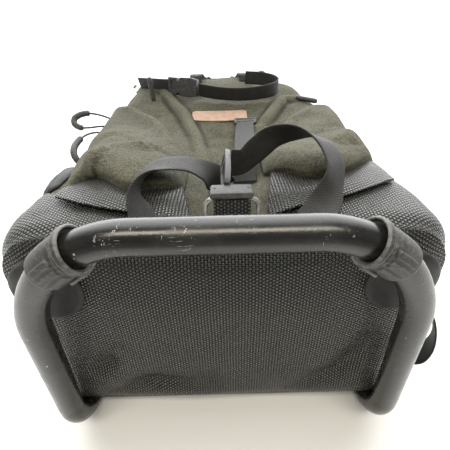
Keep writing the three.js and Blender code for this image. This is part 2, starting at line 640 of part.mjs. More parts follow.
const TOP_STRAP = [
  { x: -31.6, y: 352, z: 253.5, wx: 0, wy: -0.2, wz: 0.98 },
  { x: -6, y: 343, z: 250.5, wx: 0, wy: -0.2, wz: 0.98 },
  { x: 26, y: 338, z: 249, wx: 0, wy: -0.2, wz: 0.98 },
  { x: 58, y: 344, z: 249.5, wx: 0, wy: -0.1, wz: 0.99 },
  { x: 79, y: 357, z: 251, wx: 0, wy: 0, wz: 1 },
  { x: 87, y: 375, z: 253, wx: 0, wy: 0, wz: 1 },
  { x: 80, y: 392, z: 255, wx: 0, wy: 0.1, wz: 0.99 },
  { x: 62, y: 403, z: 257, wx: 0, wy: 0.1, wz: 0.99 },
  { x: 40, y: 409, z: 257.5, wx: 0, wy: 0.1, wz: 0.99 },
];
const HAUL_LOOP = [
  { x: -40, y: 424, z: 249.5, wx: 1, wy: 0.2, wz: 0 },
  { x: -40, y: 430, z: 257, wx: 1, wy: 0.2, wz: 0 },
  { x: -39, y: 440, z: 258, wx: 1, wy: 0.1, wz: 0 },
  { x: -38, y: 466, z: 252, wx: 1, wy: 0.1, wz: 0 },
  { x: -36, y: 494, z: 242, wx: 1, wy: 0.2, wz: 0 },
  { x: -24, y: 512, z: 232, wx: 0.7, wy: 0.5, wz: -0.4 },
  { x: 0, y: 518, z: 228, wx: 0, wy: 0.7, wz: -0.7 },
  { x: 24, y: 512, z: 232, wx: -0.7, wy: 0.5, wz: -0.4 },
  { x: 36, y: 494, z: 242, wx: -1, wy: 0.2, wz: 0 },
  { x: 38, y: 466, z: 252, wx: -1, wy: 0.1, wz: 0 },
  { x: 39, y: 440, z: 258, wx: -1, wy: 0.1, wz: 0 },
  { x: 40, y: 430, z: 257, wx: -1, wy: 0.2, wz: 0 },
  { x: 40, y: 424, z: 249.5, wx: -1, wy: 0.2, wz: 0 },
];
const SIDE_LOOP = [
  { x: 175.8, y: 58, z: 124, wx: 0, wy: 1, wz: 0 },
  { x: 186, y: 57.8, z: 122.5, wx: 0, wy: 1, wz: 0 },
  { x: 196, y: 51.5, z: 112, wx: 0.2, wy: 0.95, wz: -0.25 },
  { x: 203, y: 44, z: 94, wx: 0.4, wy: 0.9, wz: -0.2 },
  { x: 205, y: 42, z: 74, wx: 0.4, wy: 0.9, wz: 0 },
  { x: 202, y: 45, z: 57, wx: 0.3, wy: 0.9, wz: 0.2 },
  { x: 195, y: 51, z: 48, wx: 0.1, wy: 0.95, wz: 0.2 },
  { x: 186, y: 55.8, z: 48.5, wx: 0, wy: 1, wz: 0 },
  { x: 175.8, y: 56, z: 50, wx: 0, wy: 1, wz: 0 },
];
const SHOULDER_STRAP = [
  { x: 48, y: 434, z: 15.1, wx: 1, wy: 0, wz: 0 },
  { x: 52, y: 410, z: 12.4, wx: 1, wy: 0.1, wz: 0 },
  { x: 64, y: 370, z: 6.4, wx: 1, wy: 0.2, wz: 0 },
  { x: 82, y: 310, z: 6, wx: 1, wy: 0.2, wz: 0 },
  { x: 92, y: 240, z: 6, wx: 1, wy: 0.05, wz: 0 },
  { x: 92, y: 180, z: 6, wx: 1, wy: -0.05, wz: 0 },
  { x: 86, y: 132, z: 6, wx: 1, wy: -0.1, wz: 0 },
];
const SHOULDER_WEB = [
  { x: 85.8, y: 131.2, z: 6, wx: 1, wy: -0.15, wz: 0 },
  { x: 83.4, y: 116, z: 5, wx: 1, wy: 0.1, wz: 0 },
  { x: 94, y: 98, z: 5, wx: 0.7, wy: 0.7, wz: 0 },
  { x: 116, y: 88, z: 7, wx: 0.3, wy: 0.95, wz: 0.1 },
  { x: 134, y: 86, z: 10.4, wx: 0, wy: 1, wz: 0 },
];
const mirrored = (rows) => rows.map((r) => ({ ...r, x: -r.x, wy: -r.wy, wz: -r.wz }));

// Plates cut from a flat outline: a rounded rectangle, with slots as holes
function roundedRect(target, x, y, width, height, radius) {
  const [x1, y1] = [x + width, y + height];
  target.moveTo(x + radius, y);
  target.lineTo(x1 - radius, y);
  target.absarc(x1 - radius, y + radius, radius, -Math.PI / 2, 0, false);
  target.lineTo(x1, y1 - radius);
  target.absarc(x1 - radius, y1 - radius, radius, 0, Math.PI / 2, false);
  target.lineTo(x + radius, y1);
  target.absarc(x + radius, y1 - radius, radius, Math.PI / 2, Math.PI, false);
  target.lineTo(x, y + radius);
  target.absarc(x + radius, y + radius, radius, Math.PI, 1.5 * Math.PI, false);
  return target;
}

function plate(width, height, radius, thickness, slots = []) {
  const shape = roundedRect(new THREE.Shape(), -width / 2, -height / 2, width, height, radius);
  for (const s of slots) {
    const [x, y] = [s.x - s.width / 2, s.y - s.height / 2];
    shape.holes.push(roundedRect(new THREE.Path(), x, y, s.width, s.height, s.radius));
  }
  const flat = new THREE.ExtrudeGeometry(shape, { depth: thickness, bevelEnabled: false, curveSegments: 2 });
  return outward(flat.translate(0, 0, -thickness / 2));
}

// Male half of the lower buckle: a frame for the webbing and two bowed prongs
const PRONG = {
  width: 19, frame: 15, length: 52.4, bar: 3.4, root: 4, reach: 4.5, tip: 3.2, bow: 1.5, notch: 1.5,
  thickness: 4.5, x: 3, roll: rad(-75),
};
function buckleProngs() {
  const shape = new THREE.Shape();
  const half = PRONG.width / 2;
  const tipY = PRONG.length;
  const midY = lerp(PRONG.frame, tipY, 0.5);
  const rootY = PRONG.frame + 2;
  const hollow = half - PRONG.tip + PRONG.notch;
  shape.moveTo(-half, 0);
  shape.lineTo(half, 0);
  shape.lineTo(half, PRONG.frame);
  shape.quadraticCurveTo(half + PRONG.bow, midY, PRONG.reach, tipY);
  shape.lineTo(PRONG.reach - PRONG.tip, tipY);
  shape.quadraticCurveTo(hollow, midY, half - PRONG.root, rootY);
  shape.lineTo(-half + PRONG.root, rootY);
  shape.quadraticCurveTo(-hollow, midY, PRONG.tip - PRONG.reach, tipY);
  shape.lineTo(-PRONG.reach, tipY);
  shape.quadraticCurveTo(-half - PRONG.bow, midY, -half, PRONG.frame);
  shape.closePath();
  const slot = { width: PRONG.width - 2 * PRONG.bar, height: PRONG.frame - 2 * PRONG.bar };
  shape.holes.push(roundedRect(new THREE.Path(), -slot.width / 2, PRONG.bar, slot.width, slot.height, 1));
  const options = { depth: PRONG.thickness, bevelEnabled: false, curveSegments: 4 };
  return outward(new THREE.ExtrudeGeometry(shape, options).translate(0, 0, -PRONG.thickness / 2));
}

// Rectangular wire ring, in the XZ plane
const RING = { width: 44, height: 24.9, radius: 7, sides: 8, steps: 2 };
function wireRing() {
  const outline = roundedRect(new THREE.Path(), -RING.width / 2 + WIRE_RADIUS, -RING.height / 2 + WIRE_RADIUS,
    RING.width - 2 * WIRE_RADIUS, RING.height - 2 * WIRE_RADIUS, RING.radius);
  const path = outline.getPoints(RING.steps).slice(0, -1).map((p) => ({ p: vec(p.x, 0, p.y) }))
    .filter(({ p }, i, all) => p.distanceTo(all[(i + 1) % all.length].p) > 0.01);
  const section = polygon(WIRE_RADIUS, RING.sides, 0.5);
  const rings = path.map(({ p }, i) => sectionAround(p, tangentAt(path, i, true), vec(0, 1, 0), section));
  return loft(rings, { loop: true });
}

// Cords of the side zip, from the slider through the grip and back. Points chosen by hand.
const CORD_SIDES = 8;
const CORD_UPPER = [
  [-152.4, 323, 219.6], [-161, 322, 225], [-175, 317, 232], [-187, 312, 235],
  [-196, 307, 234], [-201, 301, 231], [-200, 295, 226], [-193, 292, 222],
  [-182, 296, 220], [-171, 303, 219], [-162, 309, 217], [-153.8, 313, 215],
];
const CORD_LOWER = [
  [-154, 279, 214], [-162, 277, 219], [-169, 267, 222], [-174, 254, 223],
  [-178, 240, 221], [-179, 227, 218], [-177, 217, 213.5], [-173, 212.5, 208],
  [-170, 217, 203], [-169, 231, 202], [-165, 249, 204], [-155.6, 264, 207],
];
const cordCurve = (points) => new THREE.CatmullRomCurve3(points.map(([x, y, z]) => vec(x, y, z)));
function cord(points) {
  const shape = new THREE.Shape(polygon(CORD_RADIUS, CORD_SIDES).map(([a, b]) => new THREE.Vector2(a, b)));
  const curve = cordCurve(points);
  const steps = Math.round(curve.getLength() / (4 * CORD_RADIUS));
  return outward(new THREE.ExtrudeGeometry(shape, { steps, extrudePath: curve, bevelEnabled: false }));
}

const GRIP = { from: 0.3, to: 0.66, steps: 10, sides: 6, bore: 2.9 };
function cordGrip(points) {
  const curve = cordCurve(points);
  const stations = range(GRIP.steps + 1).map((i) => lerp(GRIP.from, GRIP.to, i / GRIP.steps));
  const frames = stations.map((t) => ({ p: curve.getPointAt(t), tangent: curve.getTangentAt(t) }));
  const ring = ({ p, tangent }, radius) => {
    return sectionAround(p, tangent, vec(0, 0.2, 1), polygon(radius, GRIP.sides, 0.5));
  };
  const outside = frames.map((f) => ring(f, GRIP_RADIUS));
  const bore = frames.reverse().map((f) => ring(f, GRIP.bore));
  return loft([...outside, ...bore], { loop: true });
}

// Moulded bar of a pocket's zip pull
const PULL = { radius: 3.6, length: 34, sides: 8 };
function pullBar() {
  const end = PULL.length / 2;
  const profile = [
    [0, -end], [PULL.radius * 0.7, -end + 0.8], [PULL.radius, -end + 3], [PULL.radius, end - 3],
    [PULL.radius * 0.7, end - 0.8], [0, end]];
  return outward(new THREE.LatheGeometry(profile.map(([r, h]) => new THREE.Vector2(r, h)), PULL.sides));
}

// Materials: colour, roughness and metalness as seen on the object
function paint(color, roughness, metalness = 0) {
  return new THREE.MeshStandardMaterial({ color, roughness, metalness });
}
const MATERIALS = {
  tube: paint('#2b2c2e', 0.42, 0.3),
  plastic: paint('#2e2f31', 0.55),
  wire: paint('#8d8f90', 0.35, 0.8),
  wool: paint('#4b4b3d', 0.95),
  honeycomb: paint('#3a3d41', 0.5),
  nylon: paint('#3a3b3f', 0.75),
  webbing: paint('#26282a', 0.7),
  rubber: paint('#3d3f42', 0.6),
  leather: paint('#b58a72', 0.6),
  mesh: paint('#1f2022', 0.9),
  cord: paint('#2c2d30', 0.7),
};

const pack = new THREE.Group();
function add(name, geometry, material, place = {}) {
  const mesh = new THREE.Mesh(geometry, MATERIALS[material]);
  mesh.name = name;
  mesh.position.copy(place.at ?? vec(0, 0, 0));
  mesh.rotation.set(...(place.turn ?? [0, 0, 0]));
  pack.add(mesh);
  return mesh;
}

const SIDES = [{ name: 'left', sign: -1 }, { name: 'right', sign: 1 }];

add('frame', frameTube(), 'tube');
add('base_boot', baseBoot(), 'honeycomb');
add('bag_body', bagBody(), 'wool');
add('top_cap', topCap(), 'wool');
add('label', label(), 'leather');
for (const { name, sign } of SIDES) {
  add(`foot_clip_${name}`, footClip(sign), 'plastic');
  add(`front_pocket_${name}`, frontPocket(name), 'wool');
  add(`pocket_skirt_${name}`, pocketSkirt(name), 'honeycomb');
  add(`side_panel_${name}`, sidePanel(name), 'nylon');
  add(`corner_patch_${name}`, cornerPatch(sign), 'rubber');
  const pad = sign > 0 ? SHOULDER_STRAP : mirrored(SHOULDER_STRAP);
  add(`shoulder_strap_${name}`, paddedStrap(pad), 'mesh');
  const web = sign > 0 ? SHOULDER_WEB : mirrored(SHOULDER_WEB);
  add(`shoulder_web_${name}`, strap(web, WEB, 10), 'webbing');
}

add('centre_strap', strap(CENTRE_STRAP, WEB - 2, 12), 'webbing');
add('loop_strap_left', strap(LEFT_LOOP, WEB, 24), 'webbing');
add('loop_strap_right', strap(RIGHT_LOOP, WEB, 28), 'webbing');
add('buckle_tab', strap(BUCKLE_TAB, WEB + 2, 12), 'honeycomb');
add('top_strap', strap(TOP_STRAP, TOP_WEB, 22), 'webbing');
add('top_strap_left', strap(TOP_STRAP_LEFT, TOP_WEB, 6), 'webbing');
add('haul_loop', strap(HAUL_LOOP, TOP_WEB, 24), 'webbing');
add('side_loop', strap(SIDE_LOOP, WEB, 16), 'webbing');

// Hardware of the centre strap
const BUCKLE = { y: 48, z: 249, width: 32, height: 4, length: 14, radius: 1.8 };
add('lower_buckle_body', plate(BUCKLE.width, BUCKLE.height, BUCKLE.radius, BUCKLE.length), 'plastic', {
  at: vec(HARDWARE_X, BUCKLE.y, BUCKLE.z), turn: [Math.PI / 2, 0, 0],
});
add('lower_buckle_prongs', buckleProngs(), 'plastic', {
  at: vec(PRONG.x, BUCKLE_END, BUCKLE.z), turn: [0, PRONG.roll, Math.PI],
});
add('wire_ring', wireRing(), 'wire', { at: vec(HARDWARE_X, 46, 234) });
const LOCK = { width: 29, height: 13, radius: 2, thickness: 3.6, slot: 23, slotHeight: 2.6, slotY: 3 };
const lockSlot = { x: 0, width: LOCK.slot, height: LOCK.slotHeight, radius: 1 };
const lockSlots = [{ ...lockSlot, y: -LOCK.slotY }, { ...lockSlot, y: LOCK.slotY }];
add('ladder_lock', plate(LOCK.width, LOCK.height, LOCK.radius, LOCK.thickness, lockSlots), 'plastic', {
  at: vec(32.5, 290.5, 225), turn: [rad(10), 0, 0],
});

// Buckle of the top strap, both halves pushed together
const TOP_BUCKLE = {
  base: 14, waist: 4, body: 30, thickness: 8,
  baseHalf: 12, waistHalf: 8.5, bodyHalf: 13, endHalf: 11,
};
function topBuckle() {
  const b = TOP_BUCKLE;
  const start = -(b.base + b.waist + b.body) / 2;
  const neck = b.base + b.waist;
  const outline = [
    [0, b.baseHalf], [b.base, b.baseHalf], [b.base, b.waistHalf], [neck, b.waistHalf],
    [neck + 3, b.bodyHalf], [neck + b.body * 0.7, b.bodyHalf], [neck + b.body, b.endHalf],
  ];
  const upper = outline.map(([x, y]) => new THREE.Vector2(start + x, y));
  const lower = outline.map(([x, y]) => new THREE.Vector2(start + x, -y)).reverse();
  const shape = new THREE.Shape([...lower, ...upper]);
  shape.holes.push(roundedRect(new THREE.Path(), start + 4, -b.waistHalf, 4, 2 * b.waistHalf, 1));
  const options = { depth: b.thickness, bevelEnabled: false, curveSegments: 2 };
  return outward(new THREE.ExtrudeGeometry(shape, options).translate(0, 0, -b.thickness / 2));
}
const topBuckleTurn = [rad(80), 0, rad(-26), 'ZXY'];
add('top_buckle', topBuckle(), 'plastic', { at: vec(-55, 363.4, 255.4), turn: topBuckleTurn });

// Zip pulls
add('pocket_pull_left', pullBar(), 'plastic', { at: vec(-101, 357, 254.6), turn: [rad(80), 0, rad(6)] });
add('pocket_pull_right', pullBar(), 'plastic', { at: vec(127, 352, 236), turn: [rad(8), 0, rad(60)] });
const ZIP_RING = { radius: 8, wire: 1.7 };
add('zip_ring', new THREE.TorusGeometry(ZIP_RING.radius, ZIP_RING.wire, 6, 12), 'wire', {
  at: vec(70, 460, 249.6), turn: [rad(70), 0, rad(30)],
});
add('zip_slider', plate(12, 22, 3, 4, [{ x: 0, y: 5, width: 6, height: 6, radius: 2 }]), 'wire', {
  at: vec(-138, 424, 242), turn: [rad(30), rad(-30), rad(40)],
});

// Cords of the side zip and their grips
for (const [name, points] of [['upper', CORD_UPPER], ['lower', CORD_LOWER]]) {
  add(`side_cord_${name}`, cord(points), 'cord');
  add(`side_grip_${name}`, cordGrip(points), 'plastic');
}

// The pack's middle stands on the origin, measured without the loose cords and their grips
const extent = new THREE.Box3();
pack.children.filter((m) => !/^side_(cord|grip)/.test(m.name)).forEach((m) => extent.expandByObject(m));
const middle = extent.getCenter(vec());
pack.position.set(-middle.x, -middle.y, -extent.min.z);

export default pack;
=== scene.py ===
import math
from types import SimpleNamespace as Sizes

import bmesh
import bpy
import numpy as np
from mathutils import Matrix, Vector


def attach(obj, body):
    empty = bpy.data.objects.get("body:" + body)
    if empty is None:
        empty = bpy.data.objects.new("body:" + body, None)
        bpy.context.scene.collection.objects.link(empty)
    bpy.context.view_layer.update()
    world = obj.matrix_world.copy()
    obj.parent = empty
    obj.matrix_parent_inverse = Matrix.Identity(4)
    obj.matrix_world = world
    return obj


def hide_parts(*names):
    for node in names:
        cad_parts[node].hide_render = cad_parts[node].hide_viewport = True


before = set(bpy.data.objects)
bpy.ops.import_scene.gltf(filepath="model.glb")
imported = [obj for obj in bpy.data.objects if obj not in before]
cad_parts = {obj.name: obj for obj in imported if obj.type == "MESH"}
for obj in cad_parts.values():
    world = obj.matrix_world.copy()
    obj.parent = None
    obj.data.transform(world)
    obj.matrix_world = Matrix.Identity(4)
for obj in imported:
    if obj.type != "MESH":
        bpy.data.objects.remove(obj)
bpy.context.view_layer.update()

SHIFT = np.array((-12.417518616, -243.279348373, 0.0))


def at(points):
    return (np.asarray(points, float) + SHIFT) / 1000


# Camera of the photograph
PITCH = math.radians(34)
ROLL = math.radians(1.5)
CAMERA_PLACE = (1.5, -175.4, 370.5)
FOCAL_PIXELS = 345
IMAGE = 450

# Sizes of the frame and the bag, as in the part's source
TUBE = Sizes(radius=10.7, width=293, bar=262, lean=24, taper=0.168, corner=85, bend=45, rail=455, top=70,
             lift=10.43)
BAG = Sizes(bottom=16.5, top=515, back=21.3, back_edge=25, bottom_edge=28, top_edge=38, sag=2, belly=8)
VALLEY_HALF = 62
BODY_END = 470
SIDE_BOOT = 116
CLOTH = 2.0
BODY_OFFSET = -2.4
WEB, TOP_WEB, WEB_THICK = 25, 19, 1.6

SIDES = ((-1, "left"), (1, "right"))

# Bag outline: y, half width, height of the front, radius of its edges, depth of the channel, right droop
BAG_ROWS = np.array([
    (16, 165, 228, 36, 6, 0), (45, 175, 229, 34, 12, 0), (75, 175, 229, 34, 15, 0),
    (110, 169, 228, 32, 17, 0), (150, 163, 226, 30, 17, 0), (200, 159, 224, 30, 16, 0),
    (260, 158, 223, 31, 10, 0), (310, 157, 229, 33, 2, 0), (350, 155, 239, 35, 0, 5),
    (400, 151, 247, 40, 0, 14), (440, 146, 250, 44, 0, 16), (480, 138, 244, 48, 0, 14),
    (515, 128, 232, 50, 0, 10)], float)
HALF, FRONT, EDGE, CHANNEL, DROOP = 1, 2, 3, 4, 5

# Pocket's bulge: v from the lower to the upper rim, lift over the bag's front, push towards the foot
POCKET_ROWS = np.array([
    (0, 0, 0), (0.02, 10, -6), (0.055, 17, -13), (0.11, 22, -13), (0.18, 24, -8), (0.27, 22, -1),
    (0.35, 16, 2), (0.47, 18, 0), (0.62, 17, 0), (0.8, 13, 0), (0.93, 8, 0), (1, 0, 0)], float)

# Lower rim of the pockets: distance from the middle, then its y on the left and on the right
RIM_ROWS = np.array([
    (36, 104, 134), (48, 93, 127), (60, 86, 116), (74, 84, 103), (90, 93, 101), (104, 107, 107),
    (116, 114, 115), (128, 105, 126), (140, 88, 137), (150, 92, 146), (160, 99, 150)], float)
POCKETS = dict(
    left=Sizes(sign=-1, inner=36, low_outer=138, high=342, rim=1, skirt=(30, 138),
               side_wrap=0.94, side_crown=24, side_dip=18),
    right=Sizes(sign=1, inner=42, low_outer=154, high=335, rim=2, skirt=(41, 150),
                side_wrap=0.66, side_crown=9, side_dip=3))
POCKET_OUTER = 160
SIDE_POCKET = Sizes(low=122, high=345, back=62, front=186, wrap_end=290, seat=0.8, wrap_seat=4.6,
                    dip_from=0.8, bulge=2.2)

# Ridges and grooves: width, height, then the x, y points of the line; on the end panel x and z
END_FOLDS = [
    (13, 8, (-118, 40), (-70, 62), (-20, 60)), (11, 6, (-126, 70), (-96, 110)),
    (12, 6, (60, 42), (104, 75), (124, 120)), (26, -2.5, (-60, 150), (20, 165), (80, 140))]
BODY_FOLDS = [
    (7, -9, (-100, 396), (-86, 382), (-52, 312), (-33, 254), (-20, 182)),
    (7, -9, (50, 275), (60, 291), (92, 355), (127, 372)), (13, 4.5, (-30, 270), (20, 262), (50, 285)),
    (14, 5, (-70, 350), (-20, 372), (40, 362)), (12, -6, (-10, 240), (2, 190), (4, 120)),
    (14, -4, (95, 400), (120, 440)), (14, 3, (-110, 400), (-80, 440), (-20, 452))]
POCKET_FOLDS = dict(
    left=[(4.5, -10, (-112, 136), (-118, 114), (-123, 92)), (7, 3, (-134, 96), (-132, 120), (-124, 146)),
          (9, -5, (-101, 152), (-82, 158), (-58, 150)), (16, 3.5, (-132, 300), (-100, 240), (-90, 190)),
          (8, -7, (-128, 322), (-98, 286), (-74, 236), (-58, 190)), (9, 4, (-120, 330), (-84, 282))],
    right=[(8, -4, (101, 138), (124, 162), (138, 190)), (10, 4, (120, 140), (142, 158)),
           (9, -6, (148, 309), (134, 243), (128, 200)), (15, 3.5, (70, 240), (100, 205)),
           (8, -7, (62, 200), (88, 252), (124, 304)), (10, 3, (96, 300), (125, 322))])


def curve_through(rows, t, column):
    """Smooth curve through a table's column, whose first column is the way along it."""
    ts, values = rows[:, 0], rows[:, column]
    last = len(ts) - 1
    t = np.clip(np.asarray(t, float), ts[0], ts[-1])
    i = np.clip(np.searchsorted(ts, t) - 1, 0, last - 1)
    before, after = np.maximum(np.arange(last + 1) - 1, 0), np.minimum(np.arange(last + 1) + 1, last)
    slope = (values[after] - values[before]) / (ts[after] - ts[before])
    span = ts[i + 1] - ts[i]
    a = (t - ts[i]) / span
    b = 1 - a
    return (values[i] * (1 + 2 * a) * b * b + values[i + 1] * a * a * (3 - 2 * a)
            + span * a * b * (slope[i] * b - slope[i + 1] * a))


def smoothstep(x, low, high):
    t = np.clip((np.asarray(x, float) - low) / (high - low), 0, 1)
    return t * t * (3 - 2 * t)


def arch(t):
    """Half a wave: zero at 0 and 1, one in the middle."""
    return np.sin(np.pi * t)


def round_turn(steps):
    return np.linspace(0, 2 * np.pi, steps, endpoint=False)


# Bag surface, as in the part's source
def inset(y, offset):
    def rounded(radius, over):
        return radius - np.sqrt(np.maximum((radius + offset) ** 2 - over ** 2, 0))
    bottom = BAG.bottom + BAG.bottom_edge - y
    top = y - BAG.top + BAG.top_edge
    cut = np.full(np.shape(y), -float(offset))
    cut = np.where(bottom > 0, rounded(BAG.bottom_edge, bottom), cut)
    return np.where(top > 0, rounded(BAG.top_edge, top), cut)


def bag_size(y, column, offset):
    return curve_through(BAG_ROWS, y, column) - inset(y, offset)


def front_height(x, y, offset):
    half = bag_size(y, HALF, offset)
    edge = np.maximum(bag_size(y, EDGE, offset), 8)
    over = np.maximum(np.abs(x) - half + edge, 0)
    drop = edge - np.sqrt(np.maximum(edge ** 2 - over ** 2, 0))
    t = np.minimum(np.abs(x) / VALLEY_HALF, 1)
    channel = curve_through(BAG_ROWS, y, CHANNEL) * (1 - t * t) ** 2
    droop = curve_through(BAG_ROWS, y, DROOP) * smoothstep(x, 25, 140)
    return bag_size(y, FRONT, offset) - drop - channel - droop


def side_reach(y, z, offset, top):
    cut = inset(y, offset)
    low = BAG.back + cut + np.maximum(BAG.back_edge - cut, 6)
    t = np.clip((z - low) / (top - low), 0, 1)
    along = np.clip((y - SIDE_BOOT) / (BAG.top - SIDE_BOOT), 0, 1)
    return bag_size(y, HALF, offset) + BAG.belly * arch(t) * arch(along)


RING = Sizes(back=8, back_corner=6, side=18, front_corner=10, front=40)


def bag_ring(y, offset):
    """Points of one section from the middle of the back round the right side."""
    cut = float(inset(y, offset))
    half = float(bag_size(y, HALF, offset))
    edge = max(float(bag_size(y, EDGE, offset)), 8)
    back, back_edge = BAG.back + cut, max(BAG.back_edge - cut, 6)
    sides = []
    for sign in (1, -1):
        flat = np.linspace(0, half - back_edge, RING.back + 1)
        corner = np.radians(np.linspace(0, 90, RING.back_corner + 1)[1:])
        top = float(front_height(sign * half, y, offset))
        z_side = np.linspace(back + back_edge, top, RING.side + 1)[1:-1]
        x_edge = half - edge + edge * np.cos(np.radians(np.linspace(0, 90, RING.front_corner + 1)[:-1]))
        x_front = (half - edge) * (1 - np.linspace(0, 1, RING.front + 1))
        x = np.concatenate([flat, half - back_edge + back_edge * np.sin(corner),
                            side_reach(y, z_side, offset, top), x_edge, x_front])
        z = np.concatenate([np.full(len(flat), back), back + back_edge * (1 - np.cos(corner)), z_side,
                            front_height(sign * x_edge, y, offset), front_height(sign * x_front, y, offset)])
        sides.append(np.stack([sign * x, np.full(len(x), float(y)), z], 1))
    return np.concatenate([sides[0], sides[1][1:-1][::-1]])


# Noise and folds
HASH = np.array((374761393, 668265263, 2147483647))


def noise(points, size, seed):
    """Smooth value noise from -1 to 1 with features of this size."""
    p = np.asarray(points, float) / size + seed * 17.31
    cell = np.floor(p).astype(np.int64)
    f = p - cell
    f = f * f * (3 - 2 * f)
    total = np.zeros(p.shape[:-1])
    for corner in np.ndindex(2, 2, 2):
        c = cell + np.array(corner)
        h = (c @ HASH + seed * 974711) & 0x7fffffff
        h = ((h ^ (h >> 13)) * 1274126177) & 0x7fffffff
        value = ((h ^ (h >> 16)) & 0xffff) / 32767.5 - 1
        weight = np.prod(np.where(np.array(corner) == 1, f, 1 - f), -1)
        total += weight * value
    return total


def fold(points, line, width, height):
    """Rounded ridge, or groove where height is below zero, along a line of x, y points."""
    line = np.asarray(line, float)
    p = points[..., :2]
    best = np.full(p.shape[:-1], 1e9)
    way = np.zeros(p.shape[:-1])
    for k in range(len(line) - 1):
        a, d = line[k], line[k + 1] - line[k]
        t = np.clip(((p - a) @ d) / (d @ d), 0, 1)
        distance = np.linalg.norm(p - a - t[..., None] * d, axis=-1)
        way = np.where(distance < best, (k + t) / (len(line) - 1), way)
        best = np.minimum(best, distance)
    return height * np.exp(-(best / width) ** 2) * arch(np.clip(way, 0.12, 0.88))


def folds(points, table):
    """All the ridges and grooves of a table."""
    return sum(fold(points, line, width, height) for width, height, *line in table)


# Meshes
def finished(name, mesh, material, turn_faces=True):
    """Object of a welded mesh with this material."""
    bm = bmesh.new()
    bm.from_mesh(mesh)
    bmesh.ops.remove_doubles(bm, verts=bm.verts, dist=1e-6)
    if turn_faces:
        bmesh.ops.recalc_face_normals(bm, faces=bm.faces)
    bm.to_mesh(mesh)
    bm.free()
    mesh.materials.clear()
    mesh.materials.append(material)
    obj = bpy.data.objects.new(name, mesh)
    bpy.context.scene.collection.objects.link(obj)
    return obj


def new_object(name, vertices, faces, material, uv=None):
    mesh = bpy.data.meshes.new(name)
    mesh.from_pydata(np.asarray(vertices, float).tolist(), [], faces)
    if uv is not None:
        layer = mesh.uv_layers.new(name="flat")
        index = np.zeros(len(mesh.loops), np.int32)
        mesh.loops.foreach_get("vertex_index", index)
        layer.data.foreach_set("uv", np.asarray(uv, float)[index].ravel())
    mesh.polygons.foreach_set("use_smooth", np.full(len(mesh.polygons), True))
    return finished(name, mesh, material)


def place(obj, slot, *nodes):
    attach(obj, "root")
    if nodes:
        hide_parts(*nodes)
    return obj


def normals(grid, wrap):
    """Unit normals of a grid of points; wrap closes its second direction."""
    if wrap:
        across = np.roll(grid, -1, 1) - np.roll(grid, 1, 1)
    else:
        across = np.gradient(grid, axis=1)
    along = np.gradient(grid, axis=0)
    n = np.cross(across, along)
    if np.ptp(grid[0], axis=0).max() < 1e-6:
        n[0] = n[1].mean(0)
    return n / np.maximum(np.linalg.norm(n, axis=-1, keepdims=True), 1e-9)


def strip_faces(rows, columns, start, wrap, flip=False):
    c = np.arange(columns if wrap else columns - 1)
    a = start + np.arange(rows - 1)[:, None] * columns + c
    b = a - c + (c + 1) % columns
    faces = np.stack([a, b, b + columns, a + columns], -1).reshape(-1, 4)
    return (faces[:, ::-1] if flip else faces).tolist()


def swept_faces(rows, columns, start=0, loop=False):
    """Faces of a row of rings, closed by caps or from the last ring round to the first."""
    faces = strip_faces(rows, columns, start, True)
    last = start + (rows - 1) * columns
    if loop:
        return faces + [[last + c, last + (c + 1) % columns, (c + 1) % columns, c] for c in range(columns)]
    return faces + [list(range(start, start + columns)), list(range(last, last + columns))]


def shell(name, grid, thickness, material, wrap=False, outward=1, open_start=True):
    """Cloth of this thickness under a grid of points of its outer face."""
    rows, columns = grid.shape[:2]
    inner = grid - outward * thickness * normals(grid, wrap)
    count = rows * columns
    faces = strip_faces(rows, columns, 0, wrap) + strip_faces(rows, columns, count, wrap, flip=True)
    ends = [rows - 1] + ([0] if open_start else [])
    for r in ends:
        for c in range(columns if wrap else columns - 1):
            a, b = r * columns + c, r * columns + (c + 1) % columns
            faces.append([a, b, b + count, a + count])
    if not wrap:
        for r in range(rows - 1):
            for c in (0, columns - 1):
                a, b = r * columns + c, (r + 1) * columns + c
                faces.append([a, b, b + count, a + count])
    return new_object(name, at(np.concatenate([grid.reshape(-1, 3), inner.reshape(-1, 3)])), faces, material)


def spline(points, samples):
    """Centripetal Catmull-Rom curve with the same number of samples in each span."""
    p = np.asarray(points, float)
    p = np.concatenate([[2 * p[0] - p[1]], p, [2 * p[-1] - p[-2]]])
    t = np.linspace(0, 1, samples + 1)[:-1, None]
    out = []
    for a, b, c, d in zip(p, p[1:], p[2:], p[3:]):
        before, span, after = (max(np.linalg.norm(e - s), 1e-8) ** 0.5 for s, e in ((a, b), (b, c), (c, d)))
        span = span if span > 1e-3 else 1.0
        before, after = (k if k > 1e-3 else span for k in (before, after))
        start = ((b - a) / before - (c - a) / (before + span) + (c - b) / span) * span
        end = ((c - b) / span - (d - b) / (span + after) + (d - c) / after) * span
        out.append((2 * t ** 3 - 3 * t ** 2 + 1) * b + (t ** 3 - 2 * t ** 2 + t) * start
                   + (-2 * t ** 3 + 3 * t ** 2) * c + (t ** 3 - t ** 2) * end)
    return np.concatenate(out + [p[-2:-1]])


def even(points, step):
    """Points at even steps along a line."""
    p = np.asarray(points, float)
    way = np.concatenate([[0], np.cumsum(np.linalg.norm(np.diff(p, axis=0), axis=1))])
    s = np.linspace(0, way[-1], max(int(round(way[-1] / step)), 2) + 1)
    return np.stack([np.interp(s, way, p[:, k]) for k in range(3)], 1)


def unit(v):
    v = np.asarray(v, float)
    return v / np.maximum(np.linalg.norm(v, axis=-1, keepdims=True), 1e-12)


